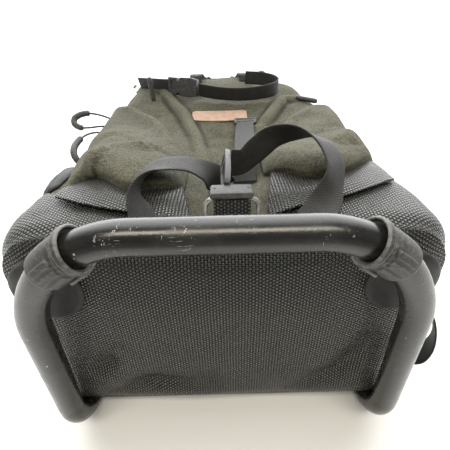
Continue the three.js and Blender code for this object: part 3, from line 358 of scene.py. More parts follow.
def tube(name, path, radius, material, sides=12, loop=False):
    """Round tube along a path; radius is a number or one for each point."""
    p = np.asarray(path, float)
    radius = np.broadcast_to(radius, len(p))
    tangent = unit(np.roll(p, -1, 0) - np.roll(p, 1, 0) if loop else np.gradient(p, axis=0))
    side = unit(np.cross(tangent[0], (0.31, 0.2, 0.93)))
    rings, uv, way = [], [], 0.0
    angles = round_turn(sides)
    for i in range(len(p)):
        side = unit(side - (side @ tangent[i]) * tangent[i])
        other = np.cross(tangent[i], side)
        rings.append(p[i] + radius[i] * (np.cos(angles)[:, None] * side + np.sin(angles)[:, None] * other))
        way += np.linalg.norm(p[i] - p[i - 1]) if i else 0
        uv += [(radius[i] * a / 1000, way / 1000) for a in angles]
    return new_object(name, at(np.concatenate(rings)), swept_faces(len(p), sides, loop=loop), material, uv)


def ribbon_rings(rows, samples):
    rows = np.asarray(rows, float)
    centre, across = spline(rows[:, :3], samples), spline(rows[:, 3:], samples)
    tangent = unit(np.gradient(centre, axis=0))
    across = unit(across - (across * tangent).sum(1, keepdims=True) * tangent)
    return centre, across, np.cross(tangent, across)


def ribbon(name, rows, width, material, samples=14, thickness=WEB_THICK):
    """Flat webbing with rounded edges through table rows."""
    centre, across, face = ribbon_rings(rows, samples)
    inner = np.linspace(-0.95, 0.95, 7)
    section = [(a, 1) for a in inner] + [(1, 0.45), (1, -0.45)] + [(a, -1) for a in inner[::-1]]
    section += [(-1, -0.45), (-1, 0.45)]
    section = np.array(section) * (width / 2, thickness / 2)
    way = np.concatenate([[0], np.cumsum(np.linalg.norm(np.diff(centre, axis=0), axis=1))])
    vertices = centre[:, None] + section[None, :, :1] * across[:, None] + section[None, :, 1:] * face[:, None]
    uv = np.stack(np.broadcast_arrays(section[None, :, 0], way[:, None]), -1) / 1000
    faces = swept_faces(len(centre), len(section))
    return new_object(name, at(vertices.reshape(-1, 3)), faces, material, uv.reshape(-1, 2))


def plate(name, outline, holes, thickness, material, matrix, bevel=0.5):
    """Moulded plate with bevelled edges, cut from a flat outline with holes."""
    curve = bpy.data.curves.new(name, "CURVE")
    curve.dimensions = "2D"
    curve.fill_mode = "BOTH"
    curve.extrude = max(thickness / 2 - bevel, 0.05) / 1000
    curve.bevel_depth = bevel / 1000
    curve.bevel_resolution = 2
    for number, points in enumerate([outline, *holes]):
        points = np.asarray(points, float)
        spokes = points - points.mean(0)
        reach = np.linalg.norm(spokes, axis=1, keepdims=True)
        moved = points - spokes / np.maximum(reach, 1e-9) * (-bevel if number else bevel)
        s = curve.splines.new("POLY")
        s.points.add(len(moved) - 1)
        corners = np.column_stack([moved / 1000, np.zeros(len(moved)), np.ones(len(moved))])
        s.points.foreach_set("co", corners.ravel())
        s.use_cyclic_u = True
    source = bpy.data.objects.new(name + "_curve", curve)
    bpy.context.scene.collection.objects.link(source)
    mesh = bpy.data.meshes.new_from_object(source.evaluated_get(bpy.context.evaluated_depsgraph_get()))
    bpy.data.objects.remove(source)
    bpy.data.curves.remove(curve)
    mesh.name = name
    mesh.transform(Matrix(matrix))
    return finished(name, mesh, material, turn_faces=False)


def rounded_rect(x0, y0, x1, y1, radius, steps=5):
    points = []
    for cx, cy, start in ((x1 - radius, y1 - radius, 0), (x0 + radius, y1 - radius, 90),
                          (x0 + radius, y0 + radius, 180), (x1 - radius, y0 + radius, 270)):
        for a in np.radians(np.linspace(start, start + 90, steps + 1)):
            points.append((cx + radius * math.cos(a), cy + radius * math.sin(a)))
    return np.array(points)


def turned(place_mm=(0, 0, 0), x=0.0, y=0.0, z=0.0, order="XYZ"):
    """Matrix of a piece drawn in metres, turned in degrees and put at a place in millimetres."""
    m = Matrix.Translation(Vector(at(place_mm)))
    for axis in order:
        m = m @ Matrix.Rotation(math.radians(dict(X=x, Y=y, Z=z)[axis]), 4, axis)
    return m


def turn_points(points, **turns):
    return points @ np.array(turned(**turns).to_3x3()).T


def stitches(name, lines, material, length=2.6, gap=1.3, radius=0.32):
    """Rows of small raised stitches along lines of points."""
    vertices, faces = [], []
    ring = round_turn(6)
    for line in lines:
        p = even(line, (length + gap) / 2)
        for i in range(0, len(p) - 1, 2):
            a, b = p[i], p[i + 1]
            d = unit(b - a)
            side = unit(np.cross(d, (0.3, 0.5, 0.81)))
            other = np.cross(d, side)
            start = len(vertices)
            for t, r in ((-0.2, 0.35), (0.1, 0.9), (0.9, 0.9), (1.2, 0.35)):
                c = a + (b - a) * t
                vertices += [c + radius * r * (math.cos(w) * side + math.sin(w) * other) for w in ring]
            faces += swept_faces(4, 6, start)
    return new_object(name, at(vertices), faces, material)


# Materials
class Look:
    """A material or a world and short calls for its nodes. Coordinates are in metres in the part's frame."""

    def __init__(self, name, kind="materials", shader="Principled BSDF"):
        self.owner = getattr(bpy.data, kind).new(name)
        self.owner.use_nodes = True
        self.nodes = self.owner.node_tree.nodes
        self.links = self.owner.node_tree.links
        self.shader = self.nodes[shader]
        coordinates = self.node("TexCoord", {})
        self.place, self.uv = coordinates["Object"], coordinates["UV"]

    def put(self, socket, value):
        if isinstance(value, bpy.types.NodeSocket):
            self.links.new(value, socket)
        elif hasattr(value, "__len__") and len(value) == 3 and socket.type == "RGBA":
            socket.default_value = (*value, 1)
        else:
            socket.default_value = value

    def set(self, **values):
        for name, value in values.items():
            self.put(self.shader.inputs[name.replace("_", " ")], value)

    def node(self, kind, inputs, **settings):
        """Outputs of a new node with these settings and inputs."""
        node = self.nodes.new(f"ShaderNode{kind}")
        for name, value in settings.items():
            setattr(node, name, value)
        for key, value in inputs.items():
            self.put(node.inputs[key], value)
        return node.outputs

    def math(self, operation, a, b=0.0, c=0.0):
        return self.node("Math", {0: a, 1: b, 2: c}, operation=operation)[0]

    def vector(self, operation, a, b=(0, 0, 0)):
        outputs = self.node("VectorMath", {0: a, 1: b}, operation=operation)
        return outputs["Value" if operation in ("LENGTH", "DOT_PRODUCT") else "Vector"]

    def split(self, vector):
        return self.node("SeparateXYZ", {0: vector})

    def noise(self, place, scale, detail=2.0, roughness=0.5, distortion=0.0):
        return self.node("TexNoise", dict(Vector=place, Scale=scale, Detail=detail, Roughness=roughness,
                                          Distortion=distortion))[0]

    def fit(self, value, low, high, to_low=0.0, to_high=1.0):
        inputs = {"Value": value, "From Min": low, "From Max": high, "To Min": to_low, "To Max": to_high}
        return self.node("MapRange", inputs, interpolation_type="SMOOTHSTEP")[0]

    def mix(self, factor, a, b):
        return self.node("Mix", {0: factor, 6: a, 7: b}, data_type="RGBA")[2]

    def bump(self, height, strength, distance, normal=None):
        inputs = dict(Height=height, Strength=strength, Distance=distance)
        if normal is not None:
            inputs["Normal"] = normal
        return self.node("Bump", inputs)[0]

    def geometry(self, output):
        return self.node("NewGeometry", {})[output]

    def stretched(self, x, y, z):
        return self.vector("MULTIPLY", self.place, (x, y, z))

    def flat_place(self):
        """Coordinates laid on the plane that the surface faces most: two numbers in metres."""
        n = self.split(self.vector("ABSOLUTE", self.geometry("Normal")))
        x, y, z = self.split(self.place)
        faces_side = self.math("GREATER_THAN", n[0], self.math("MAXIMUM", n[1], n[2]))
        faces_end = self.math("GREATER_THAN", n[1], n[2])

        def choose(flag, yes, no):
            return self.math("ADD", no, self.math("MULTIPLY", flag, self.math("SUBTRACT", yes, no)))
        second = choose(faces_end, z, y)
        return choose(faces_side, y, x), choose(faces_side, z, second)

    def dots(self, u, v, width, height):
        """Distance from the nearest dot of a staggered lattice, in lattice cells."""
        def lattice(shift):
            a = self.math("FRACT", self.math("MULTIPLY_ADD", u, 1 / width, shift))
            b = self.math("FRACT", self.math("MULTIPLY_ADD", v, 1 / height, shift))
            a = self.math("SUBTRACT", a, 0.5)
            b = self.math("MULTIPLY", self.math("SUBTRACT", b, 0.5), height / width)
            return self.vector("LENGTH", self.node("CombineXYZ", {0: a, 1: b})[0])
        return self.math("MINIMUM", lattice(0.0), lattice(0.5))

    def weave(self, u, v, across, along):
        """Plain weave from 0 to 1, with threads of these widths in metres."""
        warp = self.math("SINE", self.math("MULTIPLY", u, 2 * math.pi / across))
        weft = self.math("SINE", self.math("MULTIPLY", v, 2 * math.pi / along))
        return self.math("MULTIPLY_ADD", self.math("MULTIPLY", warp, weft), 0.5, 0.5)


def wool_look(name, dark, light):
    look = Look(name)
    fibres = look.noise(look.place, 1200, 3, 0.6)
    clumps = look.noise(look.place, 420, 2, 0.5)
    patches = look.noise(look.place, 26, 3, 0.55)
    mottle = look.math("ADD", look.math("MULTIPLY", fibres, 0.55), look.math("MULTIPLY", clumps, 0.45))
    colour = look.mix(look.fit(mottle, 0.36, 0.64), dark, light)
    wear_and_painted_light = look.mix(look.fit(patches, 0.35, 0.75, 0.0, 0.3), colour, [1.25 * c for c in light])
    # Lighter random patches are wear. Below, the mesh's pointiness adds a painted highlight on convex ridges
    # and painted shade in creases and hollows.
    pointed = look.geometry("Pointiness")
    wear_and_painted_light = look.mix(look.fit(pointed, 0.502, 0.53, 0.0, 0.24), wear_and_painted_light, [1.6 * c for c in light])
    wear_and_painted_light = look.mix(look.fit(pointed, 0.499, 0.472, 0.0, 0.85), wear_and_painted_light, [0.4 * c for c in dark])
    look.set(Base_Color=wear_and_painted_light, Roughness=0.95, Sheen_Weight=0.08, Sheen_Roughness=0.6, Specular_IOR_Level=0.1)
    fine = look.bump(fibres, 0.5, 0.0009)
    look.set(Normal=look.bump(clumps, 0.55, 0.0014, fine))
    return look.owner


def honeycomb_look(name, ground, dot, gloss):
    look = Look(name)
    u, v = look.flat_place()
    wander = look.noise(look.place, 30, 2)
    u = look.math("MULTIPLY_ADD", wander, 0.0012, u)
    distance = look.dots(u, v, 0.005, 0.00305)
    dome = look.fit(distance, 0.09, 0.29, 1.0, 0.0)
    dust = look.noise(look.place, 90, 4, 0.6)
    # Near-black ground between the dots: partly the cloth's own dark net, partly painted shade between the
    # raised dots.
    colour = look.mix(dome, ground, dot)
    colour = look.mix(look.fit(dust, 0.5, 0.85, 0.0, 0.12), colour, dot)
    look.set(Base_Color=colour, Roughness=look.fit(dome, 0.0, 1.0, 0.46, gloss))
    look.set(Specular_IOR_Level=look.fit(dome, 0.0, 1.0, 0.32, 1.0))
    look.set(Normal=look.bump(dome, 1.0, 0.0012))
    return look.owner


def webbing_look(name, dark, light):
    look = Look(name)
    u, v, _ = look.split(look.uv)
    weave = look.weave(u, v, 0.0021, 0.0017)
    edge = look.fit(look.math("ABSOLUTE", u), 0.0085, 0.0125)
    wear = look.noise(look.place, 120, 3, 0.6)
    colour = look.mix(weave, dark, light)
    colour = look.mix(look.fit(wear, 0.4, 0.75, 0.0, 0.35), colour, [1.7 * c for c in light])
    look.set(Base_Color=colour, Roughness=0.58, Sheen_Weight=0.06, Specular_IOR_Level=0.36)
    height = look.math("MULTIPLY_ADD", edge, 0.2, weave)
    look.set(Normal=look.bump(height, 0.75, 0.0006))
    return look.owner


def tube_look():
    look = Look("satin_black_tube")
    orange_peel = look.noise(look.place, 420, 2)
    smears = look.noise(look.stretched(1.0, 2.2, 2.2), 30, 4, 0.6)
    lengthways = look.noise(look.stretched(26, 300, 240), 5.5, 3, 0.62, 0.6)
    strokes = look.noise(look.stretched(330, 160, 120), 1.3, 2, 0.55, 1.4)
    x, y, z = look.split(look.place)
    on_bar = look.math("MULTIPLY", look.fit(z, 0.236, 0.246), look.fit(y, -0.264, -0.272))
    sparse = look.fit(look.noise(look.place, 38, 2), 0.49, 0.63)
    scratch = look.math("MAXIMUM", look.fit(lengthways, 0.65, 0.7), look.fit(strokes, 0.665, 0.7))
    scratch = look.math("MULTIPLY", scratch, look.math("MULTIPLY", sparse, on_bar))
    chips = look.fit(look.noise(look.place, 240, 2), 0.74, 0.78)
    marks = look.math("MAXIMUM", scratch, look.math("MULTIPLY", chips, 0.8))
    paint = look.mix(look.fit(smears, 0.35, 0.7), (0.008, 0.008, 0.008), (0.02, 0.02, 0.018))
    look.set(Base_Color=look.mix(marks, paint, (0.5, 0.49, 0.45)), Specular_IOR_Level=0.64)
    look.set(Roughness=look.fit(smears, 0.3, 0.75, 0.2, 0.32))
    look.set(Normal=look.bump(look.math("SUBTRACT", orange_peel, marks), 0.12, 0.0006))
    return look.owner


def plastic_look(name, dark, light, roughness, worn_edge=None):
    look = Look(name)
    grain = look.noise(look.place, 1600, 2)
    scuffs = look.noise(look.stretched(1, 1, 2.5), 230, 4, 0.65)
    colour = look.mix(look.fit(scuffs, 0.42, 0.72), dark, light)
    if worn_edge is not None:
        pointed = look.geometry("Pointiness")
        edge = look.math("MULTIPLY", look.fit(pointed, 0.51, 0.56), look.fit(scuffs, 0.35, 0.6, 0.3, 1.0))
        colour = look.mix(edge, colour, worn_edge)
        # Painted shade: darker in concave grooves and hollows. The lighter convex edges above are wear.
        colour = look.mix(look.fit(pointed, 0.49, 0.44), colour, [0.3 * c for c in dark])
    look.set(Base_Color=colour, Roughness=look.fit(scuffs, 0.3, 0.7, roughness - 0.08, roughness + 0.15))
    look.set(Normal=look.bump(grain, 0.25, 0.0003), Specular_IOR_Level=0.5)
    return look.owner


def wire_look():
    look = Look("plated_wire")
    stain = look.noise(look.place, 200, 4, 0.6)
    colour = look.mix(look.fit(stain, 0.4, 0.7), (0.5, 0.5, 0.49), (0.22, 0.22, 0.215))
    look.set(Base_Color=colour, Metallic=0.6)
    look.set(Roughness=look.fit(stain, 0.3, 0.7, 0.3, 0.5), Normal=look.bump(stain, 0.2, 0.0003))
    return look.owner


def nylon_look():
    look = Look("grey_nylon")
    weave = look.weave(*look.flat_place(), 0.0012, 0.0012)
    stain = look.noise(look.place, 40, 3, 0.6)
    colour = look.mix(weave, (0.018, 0.0185, 0.021), (0.045, 0.046, 0.051))
    colour = look.mix(look.fit(stain, 0.4, 0.75, 0, 0.4), colour, (0.065, 0.066, 0.07))
    look.set(Base_Color=colour, Roughness=0.7, Sheen_Weight=0.08, Normal=look.bump(weave, 0.5, 0.0004))
    return look.owner


def leather_look():
    look = Look("tan_leather")
    grain = look.node("TexVoronoi", dict(Vector=look.place, Scale=900))["Distance"]
    blotch = look.noise(look.place, 130, 3, 0.6)
    colour = look.mix(look.fit(blotch, 0.35, 0.7), (0.4, 0.26, 0.18), (0.47, 0.33, 0.24))
    look.set(Base_Color=colour, Roughness=0.62, Normal=look.bump(grain, 0.4, 0.0004))
    return look.owner


def spacer_mesh_look():
    look = Look("spacer_mesh")
    u, v = look.flat_place()
    hole = look.fit(look.dots(u, v, 0.004, 0.0055), 0.18, 0.34, 1.0, 0.0)
    threads = look.noise(look.place, 1200, 2)
    # Holes of the mesh are painted near black, as painted shade inside them.
    colour = look.mix(hole, (0.035, 0.036, 0.038), (0.006, 0.006, 0.006))
    look.set(Base_Color=colour, Roughness=0.9, Sheen_Weight=0.2)
    look.set(Normal=look.bump(hole, -0.9, 0.0012, look.bump(threads, 0.4, 0.0004)))
    return look.owner


def rubber_look():
    look = Look("smooth_rubber")
    scuffs = look.noise(look.place, 90, 4, 0.65)
    grain = look.noise(look.place, 1100, 2)
    colour = look.mix(look.fit(scuffs, 0.4, 0.75), (0.011, 0.011, 0.011), (0.034, 0.034, 0.033))
    look.set(Base_Color=colour, Roughness=look.fit(scuffs, 0.3, 0.7, 0.5, 0.68))
    look.set(Normal=look.bump(grain, 0.3, 0.0003))
    return look.owner


def floor_look():
    look = Look("pale_floor")
    cloud = look.noise(look.place, 2.0, 2)
    pale = look.mix(cloud, (0.86, 0.86, 0.86), (0.9, 0.9, 0.9))
    in_front = look.fit(look.split(look.place)[1], -0.34, -0.9)
    look.set(Base_Color=look.mix(in_front, pale, (0.2, 0.2, 0.19)), Roughness=0.9, Specular_IOR_Level=0.2)
    return look.owner


WOOL = wool_look("loden_cloth", (0.031, 0.0305, 0.02), (0.126, 0.123, 0.09))
HONEYCOMB = honeycomb_look("honeycomb_cloth", (0.004, 0.004, 0.003), (0.042, 0.042, 0.031), 0.2)
# Darker copy of the honeycomb cloth for the buckle tab: painted shade, because the tab lies in shadow.
TAB_CLOTH_PAINTED_SHADE = honeycomb_look("tab_cloth_painted_shade", (0.004, 0.004, 0.004), (0.022, 0.022, 0.02), 0.34)
WEBBING = webbing_look("ribbed_webbing", (0.008, 0.008, 0.008), (0.026, 0.0265, 0.026))
TUBE_PAINT = tube_look()
PLASTIC = plastic_look("grey_plastic", (0.035, 0.036, 0.038), (0.1, 0.1, 0.1), 0.5)
SLEEVE_PLASTIC = plastic_look("worn_sleeve_painted_shade", (0.03, 0.03, 0.03), (0.11, 0.11, 0.105), 0.46,
                              worn_edge=(0.15, 0.15, 0.14))
WIRE = wire_look()
NYLON = nylon_look()
LEATHER = leather_look()
SPACER = spacer_mesh_look()
RUBBER = rubber_look()
CORD = webbing_look("braided_cord", (0.025, 0.026, 0.028), (0.08, 0.08, 0.085))
THREAD = webbing_look("sewing_thread", (0.06, 0.06, 0.058), (0.16, 0.16, 0.155))

# Camera, light and floor
scene = bpy.context.scene
camera = bpy.data.objects.new("camera", bpy.data.cameras.new("camera"))
scene.collection.objects.link(camera)
right = np.array((1.0, 0.0, 0.0))
up = np.array((0.0, math.sin(PITCH), math.cos(PITCH)))
ahead = np.array((0.0, math.cos(PITCH), -math.sin(PITCH)))
right, up = (right * math.cos(ROLL) - up * math.sin(ROLL), right * math.sin(ROLL) + up * math.cos(ROLL))
pose = Matrix((right, up, -ahead)).transposed().to_4x4()
pose.translation = Vector(at(CAMERA_PLACE))
camera.matrix_world = pose
camera.data.sensor_fit = "HORIZONTAL"
camera.data.sensor_width = 36.0
camera.data.lens = FOCAL_PIXELS * 36.0 / IMAGE
camera.data.clip_start = 0.01
scene.camera = camera

scene.view_settings.view_transform = "Standard"

# Soft light all round, brightest in one direction and dim on the opposite side, and one window
SKY = Sizes(brightest=(0, 0.88, 0.47), dim=0.2, bright=4.5)
sky = Look("studio", "worlds", "Background")
direction = sky.node("TexCoord", {})["Generated"]
facing = sky.vector("DOT_PRODUCT", direction, Vector(SKY.brightest).normalized())
sky.set(Color=(1, 1, 1), Strength=sky.fit(facing, 0.2, 0.95, SKY.dim, SKY.bright))
scene.world = sky.owner

WINDOW = Sizes(place=Vector((0, -0.9, 1.28)), target=Vector((0, -0.267, 0.262)), size=(1.5, 0.34), power=16,
               colour=(1.0, 0.93, 0.77))
light = bpy.data.lights.new("window", "AREA")
light.shape = "RECTANGLE"
light.color = WINDOW.colour
light.size, light.size_y = WINDOW.size
light.energy = WINDOW.power
lamp = bpy.data.objects.new("window", light)
lamp.location = WINDOW.place
lamp.rotation_euler = (WINDOW.target - WINDOW.place).to_track_quat("-Z", "Y").to_euler()
scene.collection.objects.link(lamp)

FLOOR_HALF, FLOOR_LEVEL = 60.0, -0.0006
corners = [(x * FLOOR_HALF, y * FLOOR_HALF, FLOOR_LEVEL) for x, y in ((-1, -1), (1, -1), (1, 1), (-1, 1))]
floor = new_object("floor", corners, [[0, 1, 2, 3]], floor_look())

# Cords of the side zip and their grips, on the route of the solids
CORDS = dict(
    upper=[(-152.4, 323, 219.6), (-161, 322, 225), (-175, 317, 232), (-187, 312, 235), (-196, 307, 234),
           (-201, 301, 231), (-200, 295, 226), (-193, 292, 222), (-182, 296, 220), (-171, 303, 219),
           (-162, 309, 217), (-153.8, 313, 215)],
    lower=[(-154, 279, 214), (-162, 277, 219), (-169, 267, 222), (-174, 254, 223), (-178, 240, 221),
           (-179, 227, 218), (-177, 217, 213.5), (-173, 212.5, 208), (-170, 217, 203), (-169, 231, 202),
           (-165, 249, 204), (-155.6, 264, 207)])
CORD_RADIUS = 1.25
GRIP = Sizes(start=0.3, end=0.66, radius=4.0, tip=0.9, rib=0.25)
for name, points in CORDS.items():
    path = spline(points, 8)
    line = place(tube(f"zip_cord_{name}", path, CORD_RADIUS, CORD), "cord", f"side_cord_{name}")
    held = even(path, 1.2)
    held = held[int(len(held) * GRIP.start):int(len(held) * GRIP.end) + 1]
    step = np.arange(len(held))
    rounding = 1 - np.clip(np.minimum(step, step[::-1]) / 2.0, 0, 1)
    radius = GRIP.radius - GRIP.tip * rounding - GRIP.rib * (step % 4 == 0)
    grip = place(tube(f"zip_grip_{name}", held, radius, PLASTIC, sides=14), "plastic", f"side_grip_{name}")


# Tube frame
def arc(centre, radius, start, end, steps):
    a = np.linspace(0, np.pi / 2, steps + 1)[:, None]
    return np.asarray(centre, float) + radius * (np.cos(a) * start + np.sin(a) * end)


def lean_foot(path):
    """The foot leans away from the bag, and its legs draw together towards the bar."""
    rise = np.maximum(path[:, 2] - bend_z, 0) / (TUBE.bar - bend_z)
    return np.stack([path[:, 0] * (1 - TUBE.taper * rise), path[:, 1] - TUBE.lean * rise, path[:, 2]], 1)


half = TUBE.width / 2
foot_x, foot_z = half - TUBE.corner, TUBE.bar - TUBE.corner
top_x, top_y = half - TUBE.top, TUBE.rail - TUBE.top
bend_z = TUBE.lift + TUBE.bend
X, Y, Z = np.eye(3)
frame_path = lean_foot(np.concatenate([
    arc((-foot_x, 0, foot_z), TUBE.corner, Z, -X, 28),
    arc((-half, TUBE.bend, bend_z), TUBE.bend, -Y, -Z, 16),
    arc((-top_x, top_y, TUBE.lift), TUBE.top, -X, Y, 18),
    arc((top_x, top_y, TUBE.lift), TUBE.top, Y, X, 18),
    arc((half, TUBE.bend, bend_z), TUBE.bend, -Z, -Y, 16),
    arc((foot_x, 0, foot_z), TUBE.corner, X, Z, 28)]))
place(tube("frame_tube", frame_path, TUBE.radius, TUBE_PAINT, sides=40, loop=True), "tube", "frame")


# Sleeves on the corners of the foot, with a lip, a groove, raised bars and the flange of their joint
def between(x, low, high, soft):
    """One from low to high and zero outside, with edges this soft."""
    return smoothstep(x, low, low + soft) * smoothstep(x, high, high - soft)


SLEEVE = Sizes(start=24, end=44, radius=13.7, lip=1.6, chamfer=0.6, groove=0.9, bar=1.1, wall=2.2)
FLANGE = Sizes(inward=14.6, ahead=3.5, radius=1.7)
SLEEVE_BARS, SLEEVE_BAR_WIDE = (-132, -104, -76), 22
for side, name in SIDES:
    angles = np.radians(np.linspace(SLEEVE.start, SLEEVE.end, 60))
    corner = np.stack([side * np.sin(angles), 0 * angles, np.cos(angles)], 1)
    path = lean_foot(np.array((side * foot_x, 0, foot_z)) + TUBE.corner * corner)
    tangent = unit(np.gradient(path, axis=0))
    back = unit(Y - (tangent @ Y)[:, None] * tangent)
    spoke = np.cross(tangent, back) * side
    way = np.linspace(0, 1, len(angles))
    turn = round_turn(160)
    degrees = (np.degrees(turn) + 180) % 360 - 180
    radius = SLEEVE.radius + SLEEVE.lip * smoothstep(way, 0.17, 0.13) * smoothstep(way, 0, 0.03) \
        - SLEEVE.chamfer * smoothstep(way, 0.96, 1.0) - SLEEVE.groove * between(way, 0.16, 0.24, 0.02)
    bars = sum(between(degrees, low, low + SLEEVE_BAR_WIDE, 3) for low in SLEEVE_BARS)
    radius = radius[:, None] + SLEEVE.bar * np.outer(between(way, 0.32, 0.9, 0.03), bars)
    spread = np.cos(turn)[:, None] * spoke[:, None] + np.sin(turn)[:, None] * back[:, None]
    grid = path[:, None] + radius[..., None] * spread
    sleeve = shell(f"sleeve_{name}", grid, SLEEVE.wall, SLEEVE_PLASTIC, wrap=True, outward=-side)
    place(sleeve, "plastic", f"foot_clip_{name}")
    flange = (path - FLANGE.inward * spoke - FLANGE.ahead * back)[12:54:6]
    place(tube(f"sleeve_flange_{name}", flange, FLANGE.radius, SLEEVE_PLASTIC, sides=10), "plastic")


# Base of the bag
def seam_y(x):
    return 41 + 0.04 * x + 0.0021 * x * x


def boot_rim(x, z):
    front = seam_y(x) + 7
    return np.where(z > 185, np.minimum(front, SIDE_BOOT), SIDE_BOOT)


def uneven_ring(ys, offset):
    """Section of the bag whose points lie at different y."""
    return np.stack([bag_ring(float(y), offset)[i] for i, y in enumerate(ys)])


def end_folds(p):
    """Sag, puckers and slanting folds of the bottom panel and the base's sides."""
    x, y, z = p[..., 0], p[..., 1], p[..., 2]
    on_end = smoothstep(y, 34, 20)
    panel = folds(np.stack([x, z, z], -1), END_FOLDS) + 1.6 * smoothstep(z, 120, 40) * noise(p, 30, 5)
    sides = 1.6 * noise(p * (1, 0.5, 1), 42, 3) + 0.7 * noise(p, 16, 4)
    return on_end * panel + (1 - on_end) * sides * smoothstep(y, 26, 60)


PANEL_MIDDLE = 135
CREASE = Sizes(row=9, depth=3.5, width=0.8)
PIPING = Sizes(angle=46, seat=0.6, radius=1.7)
edge_y = BAG.bottom + BAG.bottom_edge
angles = np.radians(np.linspace(0, 84, 15))
edge_rings = [bag_ring(edge_y - BAG.bottom_edge * math.cos(a), 0) for a in angles]
middle = np.array((0, edge_rings[0][0, 1], PANEL_MIDDLE))
panel_rings = []
for scale in np.linspace(0, 0.98, 40):
    ring = middle + (edge_rings[0] - middle) * scale
    ring[:, 1] -= BAG.sag * (1 - scale ** 2)
    panel_rings.append(ring)
start = bag_ring(edge_y, 0)
rim = uneven_ring(boot_rim(start[:, 0], start[:, 2]), 0)
wall_rings = [start + (rim - start) * t for t in np.linspace(0, 1, 14)]
wall_rings[1:-1] = [uneven_ring(ring[:, 1], 0) for ring in wall_rings[1:-1]]
boot = np.stack(panel_rings + edge_rings + wall_rings)
past_crease = np.arange(len(boot)) - len(panel_rings) - CREASE.row
dent = -CREASE.depth * np.exp(-(past_crease / CREASE.width) ** 2)
boot += normals(boot, True) * (end_folds(boot) + dent[:, None])[..., None]
place(shell("base", boot, CLOTH, HONEYCOMB, wrap=True, open_start=False), "honeycomb", "base_boot")

piping = bag_ring(edge_y - BAG.bottom_edge * math.cos(math.radians(PIPING.angle)), PIPING.seat)
place(tube("end_piping", piping, PIPING.radius, RUBBER, sides=10, loop=True), "rubber")


# Upper bag and its cap
def body_folds(p):
    y, z = p[..., 1], p[..., 2]
    soft = 2.2 * noise(p, 46, 11) + 1.2 * noise(p, 19, 12)
    return smoothstep(z, 195, 215) * folds(p, BODY_FOLDS) + soft * (0.35 + 0.65 * smoothstep(y, 90, 140))


start = bag_ring(edge_y, BODY_OFFSET)
rim = uneven_ring(boot_rim(start[:, 0], start[:, 2]), BODY_OFFSET)
body_rings = [start + (rim - start) * t for t in np.linspace(0, 1, 12)]
last_y = rim[:, 1]
for t in np.linspace(0, 1, 130)[1:]:
    if t < 0.2:
        body_rings.append(uneven_ring(last_y + (BODY_END - last_y) * t, BODY_OFFSET))
    else:
        body_rings.append(bag_ring(float(last_y.max() + (BODY_END - last_y.max()) * t), BODY_OFFSET))
body = np.stack(body_rings)
body += normals(body, True) * body_folds(body)[..., None]
place(shell("upper_bag", body, CLOTH, WOOL, wrap=True), "wool", "bag_body")

cap_y = BAG.top - BAG.top_edge
cap_rings = [bag_ring(y, BODY_OFFSET) for y in np.linspace(BODY_END + 0.4, cap_y, 5)[:-1]]
cap_rings += [bag_ring(cap_y + (BAG.top_edge + BODY_OFFSET) * math.sin(a), BODY_OFFSET)
              for a in np.radians(np.linspace(0, 88, 18))]
end = cap_rings[-1]
middle = np.array((0, end[0, 1], (BAG.back + end[len(end) // 2, 2]) / 2))
for scale in np.linspace(0.97, 0, 26):
    ring = middle + (end - middle) * scale
    ring[:, 1] += 10 * (1 - scale ** 2)
    cap_rings.append(ring)
cap = np.stack(cap_rings)
cap += normals(cap, True) * (1.4 * noise(cap, 40, 21) + 0.7 * noise(cap, 17, 22))[..., None]
place(shell("cap", cap[::-1], CLOTH, WOOL, wrap=True, outward=-1, open_start=False), "wool", "top_cap")


# Front pockets and the flaps below them
def low_rim(pocket, x):
    return curve_through(RIM_ROWS, x, pocket.rim)


def high_rim(pocket, x):
    return pocket.high - 0.0138 * (150 - np.minimum(x, 150)) ** 2


def pocket_folds(p, side, name):
    soft = 2.2 * noise(p, 36, 31 + side) + 1.0 * noise(p, 15, 33 + side)
    return soft + folds(p, POCKET_FOLDS[name])


